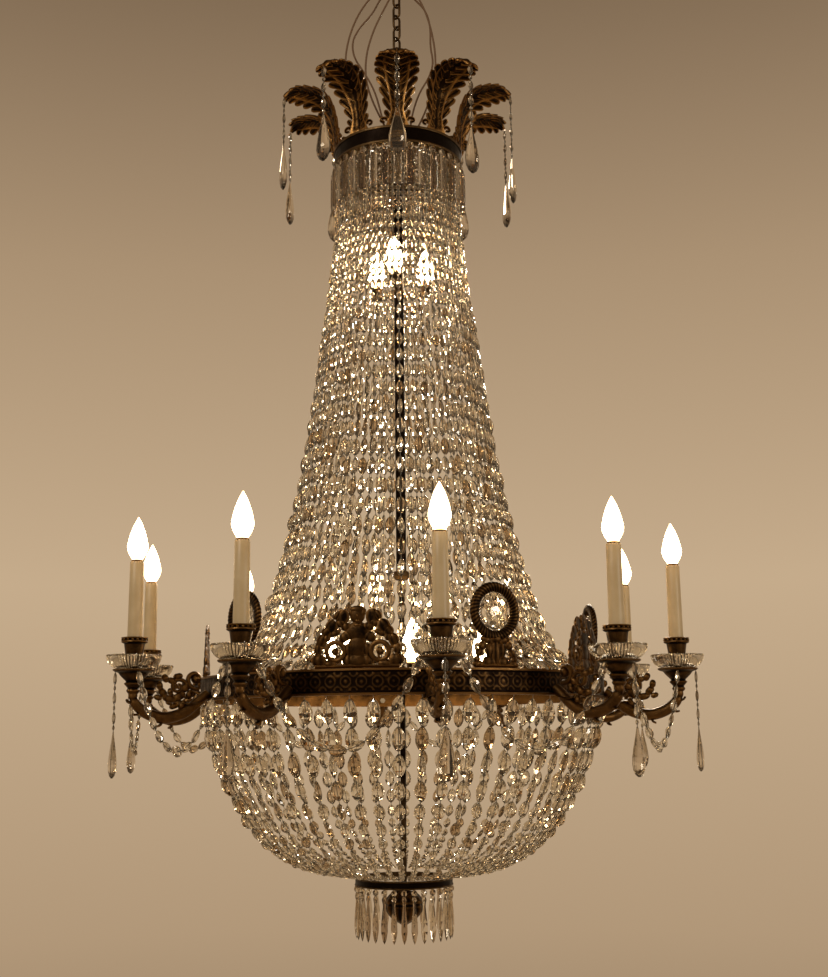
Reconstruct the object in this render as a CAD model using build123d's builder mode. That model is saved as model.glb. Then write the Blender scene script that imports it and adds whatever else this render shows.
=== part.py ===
"""Crystal chandelier: a crown of leaves, a tent of bead strings, a ring with ten candle arms and a bead bowl.

Millimetres, +Z up. The origin is the middle of the ceiling plate's upper face, and everything hangs below it.
Azimuth 0 looks at the viewer along -Y, and azimuths grow towards +X.
"""

import os
from math import cos, degrees, hypot, pi, radians, sin, tan

from build123d import *

# ---------------------------------------------------------------- driving dimensions
SEAT_GAP = 0.3  # clearance between pieces that lie beside each other
LINK_GAP = 0.4  # clearance where one link hangs in the next
PIN_GAP = 0.6  # clearance under the eye that a pendant swings from
BORE_GAP = 0.2  # radial clearance of a hub on the stem

# ceiling fitting
PLATE_RADIUS = 60.0
PLATE_THICKNESS = 4.0
SCREW_SPACING = 84.0
SCREW_HOLE_RADIUS = 2.75
ROSE_WALL = 2.0
ROSE_HEIGHT = 46.0
ROSE_MOUTH_RADIUS = 38.0
ROSE_SHOULDER_RADIUS = 54.0
ROSE_SIDES = 12
BLOCK_INNER_RADIUS = 18.0
BLOCK_OUTER_RADIUS = 34.0
BLOCK_HEIGHT = 12.0
HOOK_BAR = 8.0
HOOK_THICKNESS = 6.0
HOOK_INNER_RADIUS = 8.0
HOOK_SHANK = 34.0

# chain and the loop on top of the stem
CHAIN_BAR = 5.0
CHAIN_INNER_WIDTH = 12.0
CHAIN_PITCH = 25.0
CHAIN_LINKS = 5  # links below the top one
CHAIN_TURN = 45.0  # azimuth of the hook's plane
LOOP_INNER_RADIUS = 8.0
LOOP_SHANK = 6.0

# supply flexes
FLEX_DIAMETER = 4.0
FLEX_TOP_GAP = 3.0  # the flexes end this far under the terminal block
FLEX_SIDES = 4

# stem
STEM_SIDES = 12
TUBE_RADIUS = 10.0
ROD_RADIUS = 5.0
COLLAR_RADIUS = 16.0
COLLAR_HEIGHT = 8.0
KNOB_HEIGHT = 18.0
STEM_ABOVE_CROWN = 205.0
TUBE_BELOW_CROWN = 812.0

# crown
CROWN_RADIUS = 127.5
CROWN_HEIGHT = 33.5
CROWN_WALL = 4.0
CROWN_FLANGE = 14.0
CROWN_SIDES = 24
FLANGE_THICKNESS = 3.0
HUB_RADIUS = 30.0
HUB_HEIGHT = 10.0
SPOKE_WIDTH = 12.0
SPOKE_HEIGHT = 5.0
SPOKES = 5
LEAVES = 10
LEAF_THICKNESS = 3.0
LEAF_REACH = 109.5  # how far the tip stands out from the ring
LEAF_RISE = 109.0
OCTAGONS = 34
OCTAGON_SIZE = 15.0
OCTAGON_THICKNESS = 7.0
BAGUETTE_WIDTH = 19.0
BAGUETTE_LENGTH = 76.0
BAGUETTE_THICKNESS = 8.0
BAGUETTE_OVERHANG = 3.5  # how far the baguettes' middle stands out from the crown's wall

# tent of bead strings
TENT_STRANDS = 60
TENT_HEIGHT = 1012.6
TENT_HEAD_BEAD = 8.0
TENT_FOOT_BEAD = 13.0
STRAND_SIDES = 3

# main ring
RING_RADIUS = 370.0
RING_HEIGHT = 42.0
RING_WALL = 4.0
RING_FLANGE = 30.0
RING_SIDES = 40
RING_HUB_RADIUS = 26.0
RING_SPOKE_WIDTH = 16.0
RING_SPOKE_HEIGHT = 6.0

# arms and candles
ARMS = 10
ARM_AZIMUTH = 6.69
ARM_CIRCLE = 500.0
ARM_SIDES = 4
PAN_RADIUS = 35.0
PAN_THICKNESS = 4.0
PAN_BELL_RADIUS = 25.0
PAN_BELL_HEIGHT = 37.0
PAN_FOOT_RADIUS = 9.0
DISH_RADIUS = 48.0
DISH_FOOT_RADIUS = 31.0
DISH_HEIGHT = 24.0
DISH_WALL = 4.0
DISH_FLOOR = 6.0
CUP_RIM_RADIUS = 23.0
CUP_HEIGHT = 48.0
CUP_RIM_ABOVE_RING = 63.6
SLEEVE_RADIUS = 13.0
SLEEVE_TOP_RADIUS = 12.0
SLEEVE_LENGTH = 129.2
TURNED_SIDES = 8
BULB_RADIUS = 17.5
BULB_LENGTH = 77.0
BULB_NECK = 8.5
BULB_SIDES = 6
VOLUTE_RADIUS = 18.0
VOLUTE_THICKNESS = 12.0
SCREW_HEAD_RADIUS = 5.5
SCREW_HEAD_HEIGHT = 5.0

# ornaments on the ring
MOUNTS_OF_A_KIND = 5
MOUNT_INSET = 11.0  # from the ring's outer face to the middle of an ornament
SCROLL_WIDTH = 144.0
SCROLL_HEIGHT = 99.0
SCROLL_THICKNESS = 5.0
SCROLL_EYE_RADIUS = 10.0
WREATH_HALF_WIDTH = 46.0
WREATH_HALF_HEIGHT = 49.0
WREATH_BAND = 18.5
WREATH_THICKNESS = 12.0
WREATH_SIDES = 12
PLINTH_WIDTH = 80.0
PLINTH_TOP_WIDTH = 58.0
PLINTH_HEIGHT = 50.0

# bowl of bead strings
BOWL_STRANDS = 52
BOWL_DEPTH = 310.5
BOWL_HEAD_BEAD = 14.0
BOWL_FOOT_BEAD = 7.0
BOTTOM_RING_RADIUS = 89.0
BOTTOM_RING_WALL = 8.0
BOTTOM_RING_HEIGHT = 14.0
BOTTOM_HUB_RADIUS = 16.0
SPEARS = 30
SPEAR_WIDTH = 13.0
SPEAR_LENGTH = 90.0
NUT_RADIUS = 10.0
NUT_HEIGHT = 8.0
FINIAL_RADIUS = 34.0
FINIAL_HEIGHT = 66.0
ROD_IN_FINIAL = 14.0

# hanging drops
PENDANT_PIN = 1.6
PENDANT_BEAD = 9.0
PEAR_WIDTH = 36.0
PEAR_THICKNESS = 17.0
PEAR_LENGTH = 95.0
CROWN_STRINGS = (107.0, 125.0, 132.0, 120.0, 100.0, 100.0, 100.0, 110.0, 100.0, 98.0)
ARM_STRING = 98.0
ARM_PEAR_LENGTH = 78.0
ARM_PEAR_WIDTH = 33.0
SWAG_SAG = 132.0
SWAG_BEAD = 9.0

# inner lamps
UPPER_LAMPS = 3
UPPER_LAMP_RADIUS = 56.0
UPPER_LAMP_TURN = -100.0  # where the first of them stands
UPPER_LAMP_DROP = 262.0  # below the crown's lower edge
LOWER_LAMP_RADIUS = 150.0
HOLDER_RADIUS = 11.0
HOLDER_HEIGHT = 24.0
LAMP_BAR_WIDTH = 8.0
LAMP_BAR_HEIGHT = 4.0

# ---------------------------------------------------------------- levels, from the ceiling down
plate_bottom = -PLATE_THICKNESS
block_bottom = plate_bottom - BLOCK_HEIGHT
hook_radius = HOOK_INNER_RADIUS + HOOK_BAR / 2
hook_z = plate_bottom - HOOK_SHANK - hook_radius
link_half = (CHAIN_PITCH + LINK_GAP) / 2
top_link_z = hook_z - HOOK_INNER_RADIUS + LINK_GAP - link_half
last_link_z = top_link_z - CHAIN_LINKS * CHAIN_PITCH
loop_z = last_link_z - link_half + LINK_GAP - LOOP_INNER_RADIUS
stem_top = loop_z - LOOP_INNER_RADIUS - CHAIN_BAR - LOOP_SHANK

crown_top = stem_top - STEM_ABOVE_CROWN
crown_bottom = crown_top - CROWN_HEIGHT
crown_floor = crown_bottom + FLANGE_THICKNESS
hub_top = crown_floor + HUB_HEIGHT
crown_bore = CROWN_RADIUS - CROWN_WALL
tube_bottom = crown_bottom - TUBE_BELOW_CROWN

ring_top = crown_bottom - TENT_HEIGHT
ring_bottom = ring_top - RING_HEIGHT
ring_bore = RING_RADIUS - RING_WALL
ring_flange_bore = ring_bore - RING_FLANGE
mount_radius = RING_RADIUS - MOUNT_INSET
ring_spoke_top = ring_top - FLANGE_THICKNESS
ring_hub_bottom = ring_spoke_top - HUB_HEIGHT

cup_top = ring_top + CUP_RIM_ABOVE_RING
cup_bottom = cup_top - CUP_HEIGHT
dish_bottom = cup_bottom - DISH_FLOOR
pan_bottom = dish_bottom - PAN_THICKNESS
bell_bottom = pan_bottom - PAN_BELL_HEIGHT
sleeve_top = cup_top + SLEEVE_LENGTH

bottom_ring_top = ring_bottom - BOWL_DEPTH
bottom_ring_bottom = bottom_ring_top - BOTTOM_RING_HEIGHT
finial_top = bottom_ring_bottom - NUT_HEIGHT
rod_bottom = finial_top - ROD_IN_FINIAL

# shapes of the tent, the bowl and the leaf: shares of height and spread at each bend
TENT_BENDS = ((0.0, 0.0), (0.15, 0.04), (0.50, 0.235), (0.80, 0.495), (0.93, 0.69), (1.0, 1.0))
BOWL_BENDS = ((0.0, 1.0), (0.30, 0.913), (0.62, 0.74), (0.83, 0.545), (0.94, 0.32), (0.977, 0.0))
LEAF_BENDS = ((0.0, 0.0, 46), (0.03, 0.30, 48), (0.09, 0.60, 62), (0.23, 0.86, 84), (0.50, 1.0, 88),
              (0.84, 0.985, 72), (1.0, 0.82, 26))

tent_head_radius = crown_bore - CROWN_FLANGE + TENT_HEAD_BEAD * 0.6
tent_foot_radius = ring_flange_bore + TENT_FOOT_BEAD * 0.6
bowl_head_radius = RING_RADIUS - RING_WALL / 2
bowl_foot_radius = BOTTOM_RING_RADIUS + 2 * SEAT_GAP
drop_radius = CROWN_RADIUS - CROWN_WALL / 2 + LEAF_REACH
leaf_tip_z = crown_top + LEAF_RISE * LEAF_BENDS[-1][1]
pan_eye = (PAN_RADIUS + PAN_BELL_RADIUS) / 2 + 1

hook_direction = Vector(cos(radians(CHAIN_TURN)), sin(radians(CHAIN_TURN)), 0)
cross_direction = Vector(-sin(radians(CHAIN_TURN)), cos(radians(CHAIN_TURN)), 0)

os.makedirs("parts", exist_ok=True)


def write(piece, name):
    """Label a finished piece and write its file."""
    piece.part.label = name
    export_step(piece.part, f"parts/{name}.step")


# ---------------------------------------------------------------- shapes that repeat
def turned(levels, sides):
    """A turned solid with flat facets: levels are (radius, z) from one end to the other."""
    with BuildPart() as body:
        for radius, z in levels:
            with BuildSketch(Plane.XY.offset(z)):
                RegularPolygon(radius, sides)
        loft(ruled=True)
    return body.part


def path_normals(points, first, last):
    """Section normals along a path in the YZ plane: given at both ends, the mean of two runs between."""
    runs = [Vector(0, -(b[0] - a[0]), b[1] - a[1]).normalized() for a, b in zip(points, points[1:])]
    middle = [(before + after).normalized() for before, after in zip(runs, runs[1:])]
    return [Vector(*first)] + middle + [Vector(*last)]


def lofted_string(points, sizes, normals, sides):
    """A string at azimuth 0 through (radius, z) points, with a regular section of the given sizes."""
    with BuildPart() as string:
        for (radius, z), size, normal in zip(points, sizes, normals):
            with BuildSketch(Plane(origin=(0, -radius, z), x_dir=(1, 0, 0), z_dir=normal)):
                RegularPolygon(size / 2, sides, rotation=-90)
        loft(ruled=True)
    return string.part


def around(piece, count, first_azimuth=0.0):
    """Equal copies of a piece made at azimuth 0, as separate solids round the axis."""
    with BuildPart() as group:
        with PolarLocations(0, count, start_angle=first_azimuth):
            add(piece)
    return group


def swept(route, radii, diameter, sides):
    """A faceted rod along straight runs joined by arcs of the given radii."""
    with BuildPart() as rod:
        with BuildLine() as line:
            FilletPolyline(*route, radius=radii)
        start = line.line @ 0
        with BuildSketch(Plane(origin=start, z_dir=line.line % 0)):
            RegularPolygon(diameter / 2, sides, major_radius=False)
        sweep(path=line.line)
    return rod.part


def arc_radii(route):
    """The largest arc at each corner that takes 0.45 of the shorter run beside it."""
    radii = []
    for before, corner, after in zip(route, route[1:], route[2:]):
        run_in, run_out = Vector(corner) - Vector(before), Vector(after) - Vector(corner)
        half_turn = radians(run_in.get_angle(run_out)) / 2
        radii.append(0.45 * min(run_in.length, run_out.length) / tan(half_turn))
    return radii


def spokes_and_hub(hub_radius, bore_radius, hub_low, hub_high, spoke_low, spoke_height, width, reach, azimuth):
    """A hub bored for the stem, with flat spokes that reach out to a ring."""
    with BuildPart() as spider:
        with BuildSketch(Plane.XY.offset(hub_low)):
            RegularPolygon(hub_radius, TURNED_SIDES, rotation=azimuth)
        extrude(amount=hub_high - hub_low)
        with BuildSketch(Plane.XY.offset(spoke_low)):
            with PolarLocations(0, SPOKES, start_angle=azimuth - 90):
                with Locations((reach / 2, 0)):
                    Rectangle(reach, width)
        extrude(amount=spoke_height)
        with BuildSketch(Plane.XY.offset(hub_low)):
            RegularPolygon(bore_radius, STEM_SIDES, major_radius=False)
        extrude(amount=hub_high - hub_low, mode=Mode.SUBTRACT)
    return spider


# ---------------------------------------------------------------- ceiling fitting
with BuildPart() as ceiling_plate:
    with BuildSketch(Plane.XY.offset(plate_bottom)):
        RegularPolygon(PLATE_RADIUS, ROSE_SIDES)
    extrude(amount=PLATE_THICKNESS)
    with Locations((-SCREW_SPACING / 2, 0, 0), (SCREW_SPACING / 2, 0, 0)):
        Hole(SCREW_HOLE_RADIUS)
write(ceiling_plate, "ceiling_plate")

rose_rim = PLATE_RADIUS + SEAT_GAP
rose_outer = turned([(rose_rim + ROSE_WALL, 0), (rose_rim + ROSE_WALL, -ROSE_HEIGHT * 0.2),
                     (ROSE_SHOULDER_RADIUS + ROSE_WALL, -ROSE_HEIGHT * 0.5),
                     (ROSE_MOUTH_RADIUS + ROSE_WALL, -ROSE_HEIGHT)], ROSE_SIDES)
rose_inner = turned([(rose_rim, 0), (rose_rim, -ROSE_HEIGHT * 0.2), (ROSE_SHOULDER_RADIUS, -ROSE_HEIGHT * 0.5),
                     (ROSE_MOUTH_RADIUS, -ROSE_HEIGHT)], ROSE_SIDES)
with BuildPart() as ceiling_rose:
    add(rose_outer)
    add(rose_inner, mode=Mode.SUBTRACT)
write(ceiling_rose, "ceiling_rose")

with BuildPart() as terminal_block:
    with BuildSketch(Plane.XY.offset(block_bottom)):
        RegularPolygon(BLOCK_OUTER_RADIUS, TURNED_SIDES)
        RegularPolygon(BLOCK_INNER_RADIUS, TURNED_SIDES, mode=Mode.SUBTRACT)
    extrude(amount=BLOCK_HEIGHT)
write(terminal_block, "terminal_block")

hook_plane = Plane(origin=(0, 0, hook_z), x_dir=hook_direction, z_dir=-cross_direction)
with BuildPart() as ceiling_hook:
    with BuildSketch(hook_plane):
        RegularPolygon(HOOK_INNER_RADIUS + HOOK_BAR, 8, major_radius=False, rotation=22.5)
        RegularPolygon(HOOK_INNER_RADIUS, 8, major_radius=False, rotation=22.5, mode=Mode.SUBTRACT)
        with Locations((hook_radius, HOOK_BAR * 0.9)):
            Rectangle(1.5 * HOOK_BAR, HOOK_BAR, mode=Mode.SUBTRACT)
        with Locations((0, hook_radius + HOOK_SHANK / 2)):
            Rectangle(HOOK_BAR, HOOK_SHANK)
    extrude(amount=HOOK_THICKNESS / 2, both=True)
write(ceiling_hook, "ceiling_hook")


# ---------------------------------------------------------------- chain
def chain_link(z, across, normal):
    """One long link cut from flat bar, with chamfered ends, whose long side is upright."""
    with BuildPart() as link:
        with BuildSketch(Plane(origin=(0, 0, z), x_dir=across, z_dir=normal)):
            for half_width, half_height, mode in ((CHAIN_INNER_WIDTH / 2 + CHAIN_BAR, link_half + CHAIN_BAR, Mode.ADD),
                                                  (CHAIN_INNER_WIDTH / 2, link_half, Mode.SUBTRACT)):
                inset, drop = half_width / 3, half_height / 3
                Polygon((half_width, drop - half_height), (half_width, half_height - drop),
                        (half_width - inset, half_height), (inset - half_width, half_height),
                        (-half_width, half_height - drop), (-half_width, drop - half_height),
                        (inset - half_width, -half_height), (half_width - inset, -half_height),
                        align=None, mode=mode)
        extrude(amount=CHAIN_BAR / 2, both=True)
    return link.part


with BuildPart() as chain_link_top:
    add(chain_link(top_link_z, cross_direction, hook_direction))
write(chain_link_top, "chain_link_top")

with BuildPart() as chain_links:
    for number in range(1, CHAIN_LINKS + 1):
        across, normal = (hook_direction, cross_direction) if number % 2 else (cross_direction, hook_direction)
        add(chain_link(top_link_z - number * CHAIN_PITCH, across, normal))
write(chain_links, "chain_links")

last_across, last_normal = (hook_direction, cross_direction) if CHAIN_LINKS % 2 else (cross_direction, hook_direction)
with BuildPart() as top_loop:
    with BuildSketch(Plane(origin=(0, 0, loop_z), x_dir=last_normal, z_dir=last_across)):
        RegularPolygon(LOOP_INNER_RADIUS + CHAIN_BAR, 8, major_radius=False, rotation=22.5)
        RegularPolygon(LOOP_INNER_RADIUS, 8, major_radius=False, rotation=22.5, mode=Mode.SUBTRACT)
    extrude(amount=CHAIN_BAR / 2, both=True)
    with BuildSketch(Plane.XY.offset(stem_top)):
        RegularPolygon(TUBE_RADIUS * 0.7, TURNED_SIDES)
    extrude(amount=LOOP_SHANK + CHAIN_BAR / 2)
write(top_loop, "top_loop")

# ---------------------------------------------------------------- supply flexes
flex_top = block_bottom - FLEX_TOP_GAP
FLEX_ROUTES = (
    ((-24, -8, flex_top), (-24, -8, -46), (-44, -9, -82), (-74, -10, -122), (-95, -11, -172), (-106, -12, -228),
     (-103, -12, -286), (-86, -11, -342), (-58, -9, -392), (-24, -7, -426), (-24, -7, hub_top)),
    ((-14, 22, flex_top), (-14, 22, -46), (-34, 24, -76), (-51, 23, -112), (-76, 20, -142), (-93, 18, -176),
     (-89, 16, -214), (-68, 14, -248), (-46, 13, -290), (-33, 12, -342), (-22, 12, -394), (-19, 12, -430),
     (-19, 12, hub_top)),
    ((6, -25, flex_top), (6, -25, -48), (-5, -27, -90), (-26, -27, -132), (-48, -27, -180), (-63, -26, -234),
     (-64, -25, -288), (-49, -24, -338), (-27, -22, -384), (-8, -20, -424), (-8, -20, hub_top)),
    ((24, -10, flex_top), (24, -10, -46), (41, -11, -86), (61, -12, -130), (74, -12, -182), (80, -12, -236),
     (76, -12, -292), (60, -11, -344), (39, -10, -390), (22, -8, -424), (22, -8, hub_top)),
    ((15, 21, flex_top), (15, 21, -46), (36, 22, -76), (61, 20, -104), (71, 18, -146), (69, 16, -190),
     (76, 15, -228), (66, 14, -262), (44, 13, -298), (29, 13, -348), (24, 13, -396), (17, 13, -430),
     (17, 13, hub_top)),
)
for number, route in enumerate(FLEX_ROUTES, 1):
    radii = arc_radii(route)
    with BuildPart() as supply_flex:
        add(swept(route, radii, FLEX_DIAMETER, FLEX_SIDES))
    runs = sum(hypot(*(b[i] - a[i] for i in range(3))) for a, b in zip(route, route[1:]))
    section = FLEX_SIDES * (FLEX_DIAMETER / 2) ** 2 * tan(pi / FLEX_SIDES)
    print(f"flex {number}: runs {runs:.0f} mm, tube {supply_flex.part.volume / section:.0f} mm,"
          f" radii {[round(radius) for radius in radii]}")
    write(supply_flex, f"supply_flex_{number}")

# ---------------------------------------------------------------- stem and crown
with BuildPart() as central_stem:
    for radius, high, low in ((TUBE_RADIUS, stem_top, tube_bottom),
                              (COLLAR_RADIUS, crown_floor, crown_floor - COLLAR_HEIGHT),
                              (COLLAR_RADIUS, tube_bottom, tube_bottom - KNOB_HEIGHT),
                              (ROD_RADIUS, tube_bottom - KNOB_HEIGHT, rod_bottom),
                              (COLLAR_RADIUS, ring_hub_bottom, ring_hub_bottom - COLLAR_HEIGHT)):
        with BuildSketch(Plane.XY.offset(low)):
            RegularPolygon(radius, STEM_SIDES)
        extrude(amount=high - low)
write(central_stem, "central_stem")

crown_spider = spokes_and_hub(HUB_RADIUS, TUBE_RADIUS + BORE_GAP, crown_floor, hub_top, crown_floor, SPOKE_HEIGHT,
                              SPOKE_WIDTH, crown_bore - 2 * SEAT_GAP, ARM_AZIMUTH)
write(crown_spider, "crown_spider")


def facet_ring(outer, inner, sides):
    """Draw a ring with flat sides, one of which faces the first arm."""
    turn = ARM_AZIMUTH - 90 - 180 / sides
    RegularPolygon(outer, sides, major_radius=False, rotation=turn)
    RegularPolygon(inner, sides, major_radius=False, rotation=turn, mode=Mode.SUBTRACT)


def flanged_ring(radius, wall, flange, top, bottom, flange_low, sides):
    """A many-sided band with a flat flange turned inwards."""
    with BuildPart() as ring:
        with BuildSketch(Plane.XY.offset(bottom)):
            facet_ring(radius, radius - wall, sides)
        extrude(amount=top - bottom)
        with BuildSketch(Plane.XY.offset(flange_low)):
            facet_ring(radius - wall / 2, radius - wall - flange, sides)
        extrude(amount=FLANGE_THICKNESS)
    return ring


crown_ring = flanged_ring(CROWN_RADIUS, CROWN_WALL, CROWN_FLANGE, crown_top, crown_bottom, crown_bottom, CROWN_SIDES)
write(crown_ring, "crown_ring")

leaf_base_radius = CROWN_RADIUS - CROWN_WALL / 2
leaf_line = [(leaf_base_radius + LEAF_REACH * out, crown_top + LEAF_RISE * up) for out, up, width in LEAF_BENDS]
leaf_edges = []
for side in (1, -1):
    edge = []
    for (radius, z), normal in zip(leaf_line, path_normals(leaf_line, (0, 0, 1), (0, 0, -1))):
        edge.append((-radius - side * normal.Z * LEAF_THICKNESS / 2, z + side * normal.Y * LEAF_THICKNESS / 2))
    leaf_edges.append(edge)
leaf_half_plan = [(width / 2, -leaf_base_radius - (LEAF_REACH + LEAF_THICKNESS) * out) for out, up, width in LEAF_BENDS]
leaf_half_plan[0] = (leaf_half_plan[0][0], LEAF_THICKNESS - leaf_base_radius)
with BuildPart() as leaf:
    with BuildSketch(Plane.YZ.offset(-LEAF_REACH / 2)):
        Polygon(*leaf_edges[0], *reversed(leaf_edges[1]), align=None)
    extrude(amount=LEAF_REACH)
    with BuildSketch(Plane.XY.offset(crown_top)):
        Polygon(*leaf_half_plan, *((-x, y) for x, y in reversed(leaf_half_plan)), align=None)
    extrude(amount=LEAF_RISE + LEAF_THICKNESS, mode=Mode.INTERSECT)
crown_leaves = around(leaf.part, LEAVES)
write(crown_leaves, "crown_leaves")

octagon_z = crown_bottom - OCTAGON_SIZE / 2
with BuildPart() as octagon:
    with BuildSketch(Plane.XZ.offset(CROWN_RADIUS - OCTAGON_THICKNESS / 2)):
        with Locations((0, octagon_z)):
            RegularPolygon(OCTAGON_SIZE / 2, 6, rotation=90)
    extrude(amount=OCTAGON_THICKNESS)
octagon_row = around(octagon.part, OCTAGONS)
write(octagon_row, "octagon_row")

baguette_top = crown_bottom - OCTAGON_SIZE - SEAT_GAP
with BuildPart() as baguette:
    with BuildSketch(Plane.XY.offset(baguette_top)):
        with Locations((0, -CROWN_RADIUS - BAGUETTE_OVERHANG)):
            Rectangle(BAGUETTE_WIDTH, BAGUETTE_THICKNESS)
    extrude(amount=-BAGUETTE_LENGTH)
baguette_prisms = around(baguette.part, OCTAGONS)
write(baguette_prisms, "baguette_prisms")

# ---------------------------------------------------------------- tent
tent_spread = tent_foot_radius - tent_head_radius
tent_line = [(tent_head_radius + tent_spread * out, crown_bottom - TENT_HEIGHT * down) for down, out in TENT_BENDS]
tent_sizes = [TENT_HEAD_BEAD + (TENT_FOOT_BEAD - TENT_HEAD_BEAD) * down for down, out in TENT_BENDS]
tent_string = lofted_string(tent_line, tent_sizes, path_normals(tent_line, (0, 0, -1), (0, 0, -1)), STRAND_SIDES)
tent_strands = around(tent_string, TENT_STRANDS)
write(tent_strands, "tent_strands")

# ---------------------------------------------------------------- main ring
main_ring = flanged_ring(RING_RADIUS, RING_WALL, RING_FLANGE, ring_top, ring_bottom, ring_top - FLANGE_THICKNESS,
                         RING_SIDES)
write(main_ring, "main_ring")

ring_spider = spokes_and_hub(RING_HUB_RADIUS, ROD_RADIUS + BORE_GAP, ring_hub_bottom, ring_spoke_top,
                             ring_spoke_top - RING_SPOKE_HEIGHT, RING_SPOKE_HEIGHT, RING_SPOKE_WIDTH,
                             ring_bore - 2 * SEAT_GAP, ARM_AZIMUTH)
write(ring_spider, "ring_spider")

# ---------------------------------------------------------------- arms
arm_seat = RING_RADIUS + SEAT_GAP
arm_span = ARM_CIRCLE - arm_seat
ARM_BENDS = ((1.0, 0.0, 20), (0.955, -16, 22), (0.80, -32, 26), (0.56, -40, 27), (0.34, -34, 26),
             (0.14, -10, 23), (0.0, 2, 21))
arm_line = [(arm_seat + arm_span * share, bell_bottom + drop) for share, drop, size in ARM_BENDS]
arm_normals = path_normals(arm_line, (0, 0, -1), (0, 1, 0))
arm_bar = lofted_string(arm_line, [size for _, _, size in ARM_BENDS], arm_normals, ARM_SIDES)
volute_at = RING_RADIUS + VOLUTE_RADIUS + 5
volute_z = bell_bottom + 26
with BuildPart() as arm:
    add(arm_bar)
    with BuildSketch(Plane.YZ.offset(-VOLUTE_THICKNESS / 2)):
        with Locations((-volute_at, volute_z)):
            RegularPolygon(VOLUTE_RADIUS, 8)
        Polygon((-volute_at + 8, volute_z - 8), (-volute_at - 12, volute_z - 4), (-volute_at - 26, volute_z - 30),
                (-volute_at - 16, volute_z - 58), align=None)
    extrude(amount=VOLUTE_THICKNESS)
arms = around(arm.part, ARMS, ARM_AZIMUTH)
write(arms, "arms")

with BuildPart() as arm_screw:
    with BuildSketch(Plane.XZ.offset(ring_bore - SEAT_GAP - SCREW_HEAD_HEIGHT)):
        with Locations((0, bell_bottom + ARM_BENDS[-1][1])):
            RegularPolygon(SCREW_HEAD_RADIUS, 6)
    extrude(amount=SCREW_HEAD_HEIGHT)
arm_screws = around(arm_screw.part, ARMS, ARM_AZIMUTH)
write(arm_screws, "arm_screws")


def on_arm_circle(piece):
    """A piece made on the axis, set out on the arm circle at azimuth 0."""
    return piece.moved(Location((0, -ARM_CIRCLE, 0)))


pan_flange = turned([(PAN_RADIUS, dish_bottom), (PAN_RADIUS, pan_bottom)], TURNED_SIDES)
pan_bell = turned([(PAN_BELL_RADIUS, pan_bottom), (PAN_FOOT_RADIUS, bell_bottom)], TURNED_SIDES)
with BuildPart() as pan:
    add(on_arm_circle(pan_flange))
    add(on_arm_circle(pan_bell))
drip_pans = around(pan.part, ARMS, ARM_AZIMUTH)
write(drip_pans, "drip_pans")

dish_top = dish_bottom + DISH_HEIGHT
dish_outer = turned([(DISH_FOOT_RADIUS, dish_bottom), (DISH_RADIUS, dish_top)], TURNED_SIDES)
dish_inner = turned([(DISH_FOOT_RADIUS - DISH_WALL, cup_bottom), (DISH_RADIUS - DISH_WALL, dish_top)], TURNED_SIDES)
with BuildPart() as dish:
    add(on_arm_circle(dish_outer))
    add(on_arm_circle(dish_inner), mode=Mode.SUBTRACT)
glass_dishes = around(dish.part, ARMS, ARM_AZIMUTH)
write(glass_dishes, "glass_dishes")

cup_body = turned([(CUP_RIM_RADIUS * 0.75, cup_bottom), (CUP_RIM_RADIUS * 0.5, cup_bottom + CUP_HEIGHT * 0.3),
                   (CUP_RIM_RADIUS, cup_top - CUP_HEIGHT * 0.15), (CUP_RIM_RADIUS, cup_top)], TURNED_SIDES)
candle_cups = around(on_arm_circle(cup_body), ARMS, ARM_AZIMUTH)
write(candle_cups, "candle_cups")

sleeve = turned([(SLEEVE_RADIUS, cup_top), (SLEEVE_TOP_RADIUS, sleeve_top)], TURNED_SIDES)
candle_sleeves = around(on_arm_circle(sleeve), ARMS, ARM_AZIMUTH)
write(candle_sleeves, "candle_sleeves")


def lamp(foot):
    """A candle-shaped lamp that stands on the level of its foot."""
    return turned([(BULB_NECK, foot), (BULB_RADIUS, foot + BULB_LENGTH * 0.3),
                   (BULB_RADIUS * 0.7, foot + BULB_LENGTH * 0.68), (BULB_RADIUS * 0.12, foot + BULB_LENGTH)],
                  BULB_SIDES)


candle_lamps = around(on_arm_circle(lamp(sleeve_top)), ARMS, ARM_AZIMUTH)
write(candle_lamps, "candle_lamps")

# ---------------------------------------------------------------- ornaments on the ring
half = SCROLL_WIDTH / 2
scroll_outline = ((half, 0), (half, 14), (half - 14, 18), (half - 18, 42), (half - 42, 50),
                  (half - 36, SCROLL_HEIGHT - 16), (12, SCROLL_HEIGHT - 18), (9, SCROLL_HEIGHT))
mirrored = tuple((-x, z) for x, z in reversed(scroll_outline))
with BuildPart() as scroll_mount:
    with BuildSketch(Plane.XZ.offset(mount_radius - SCROLL_THICKNESS / 2)):
        with Locations((0, ring_top)):
            Polygon(*scroll_outline, *mirrored, align=None)
        with Locations((half - 36, ring_top + 27), (36 - half, ring_top + 27)):
            RegularPolygon(SCROLL_EYE_RADIUS, 6, mode=Mode.SUBTRACT)
    extrude(amount=SCROLL_THICKNESS)
step = 360 / ARMS
scroll_mounts = around(scroll_mount.part, MOUNTS_OF_A_KIND, ARM_AZIMUTH - step / 2)
write(scroll_mounts, "scroll_mounts")

wreath_z = ring_top + PLINTH_HEIGHT + WREATH_HALF_HEIGHT - 8


def oval(half_width, half_height, sides):
    """Corners of an oval with flat sides."""
    turns = [2 * pi * (corner + 0.5) / sides for corner in range(sides)]
    return [(half_width * sin(turn), half_height * cos(turn)) for turn in turns]


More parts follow.
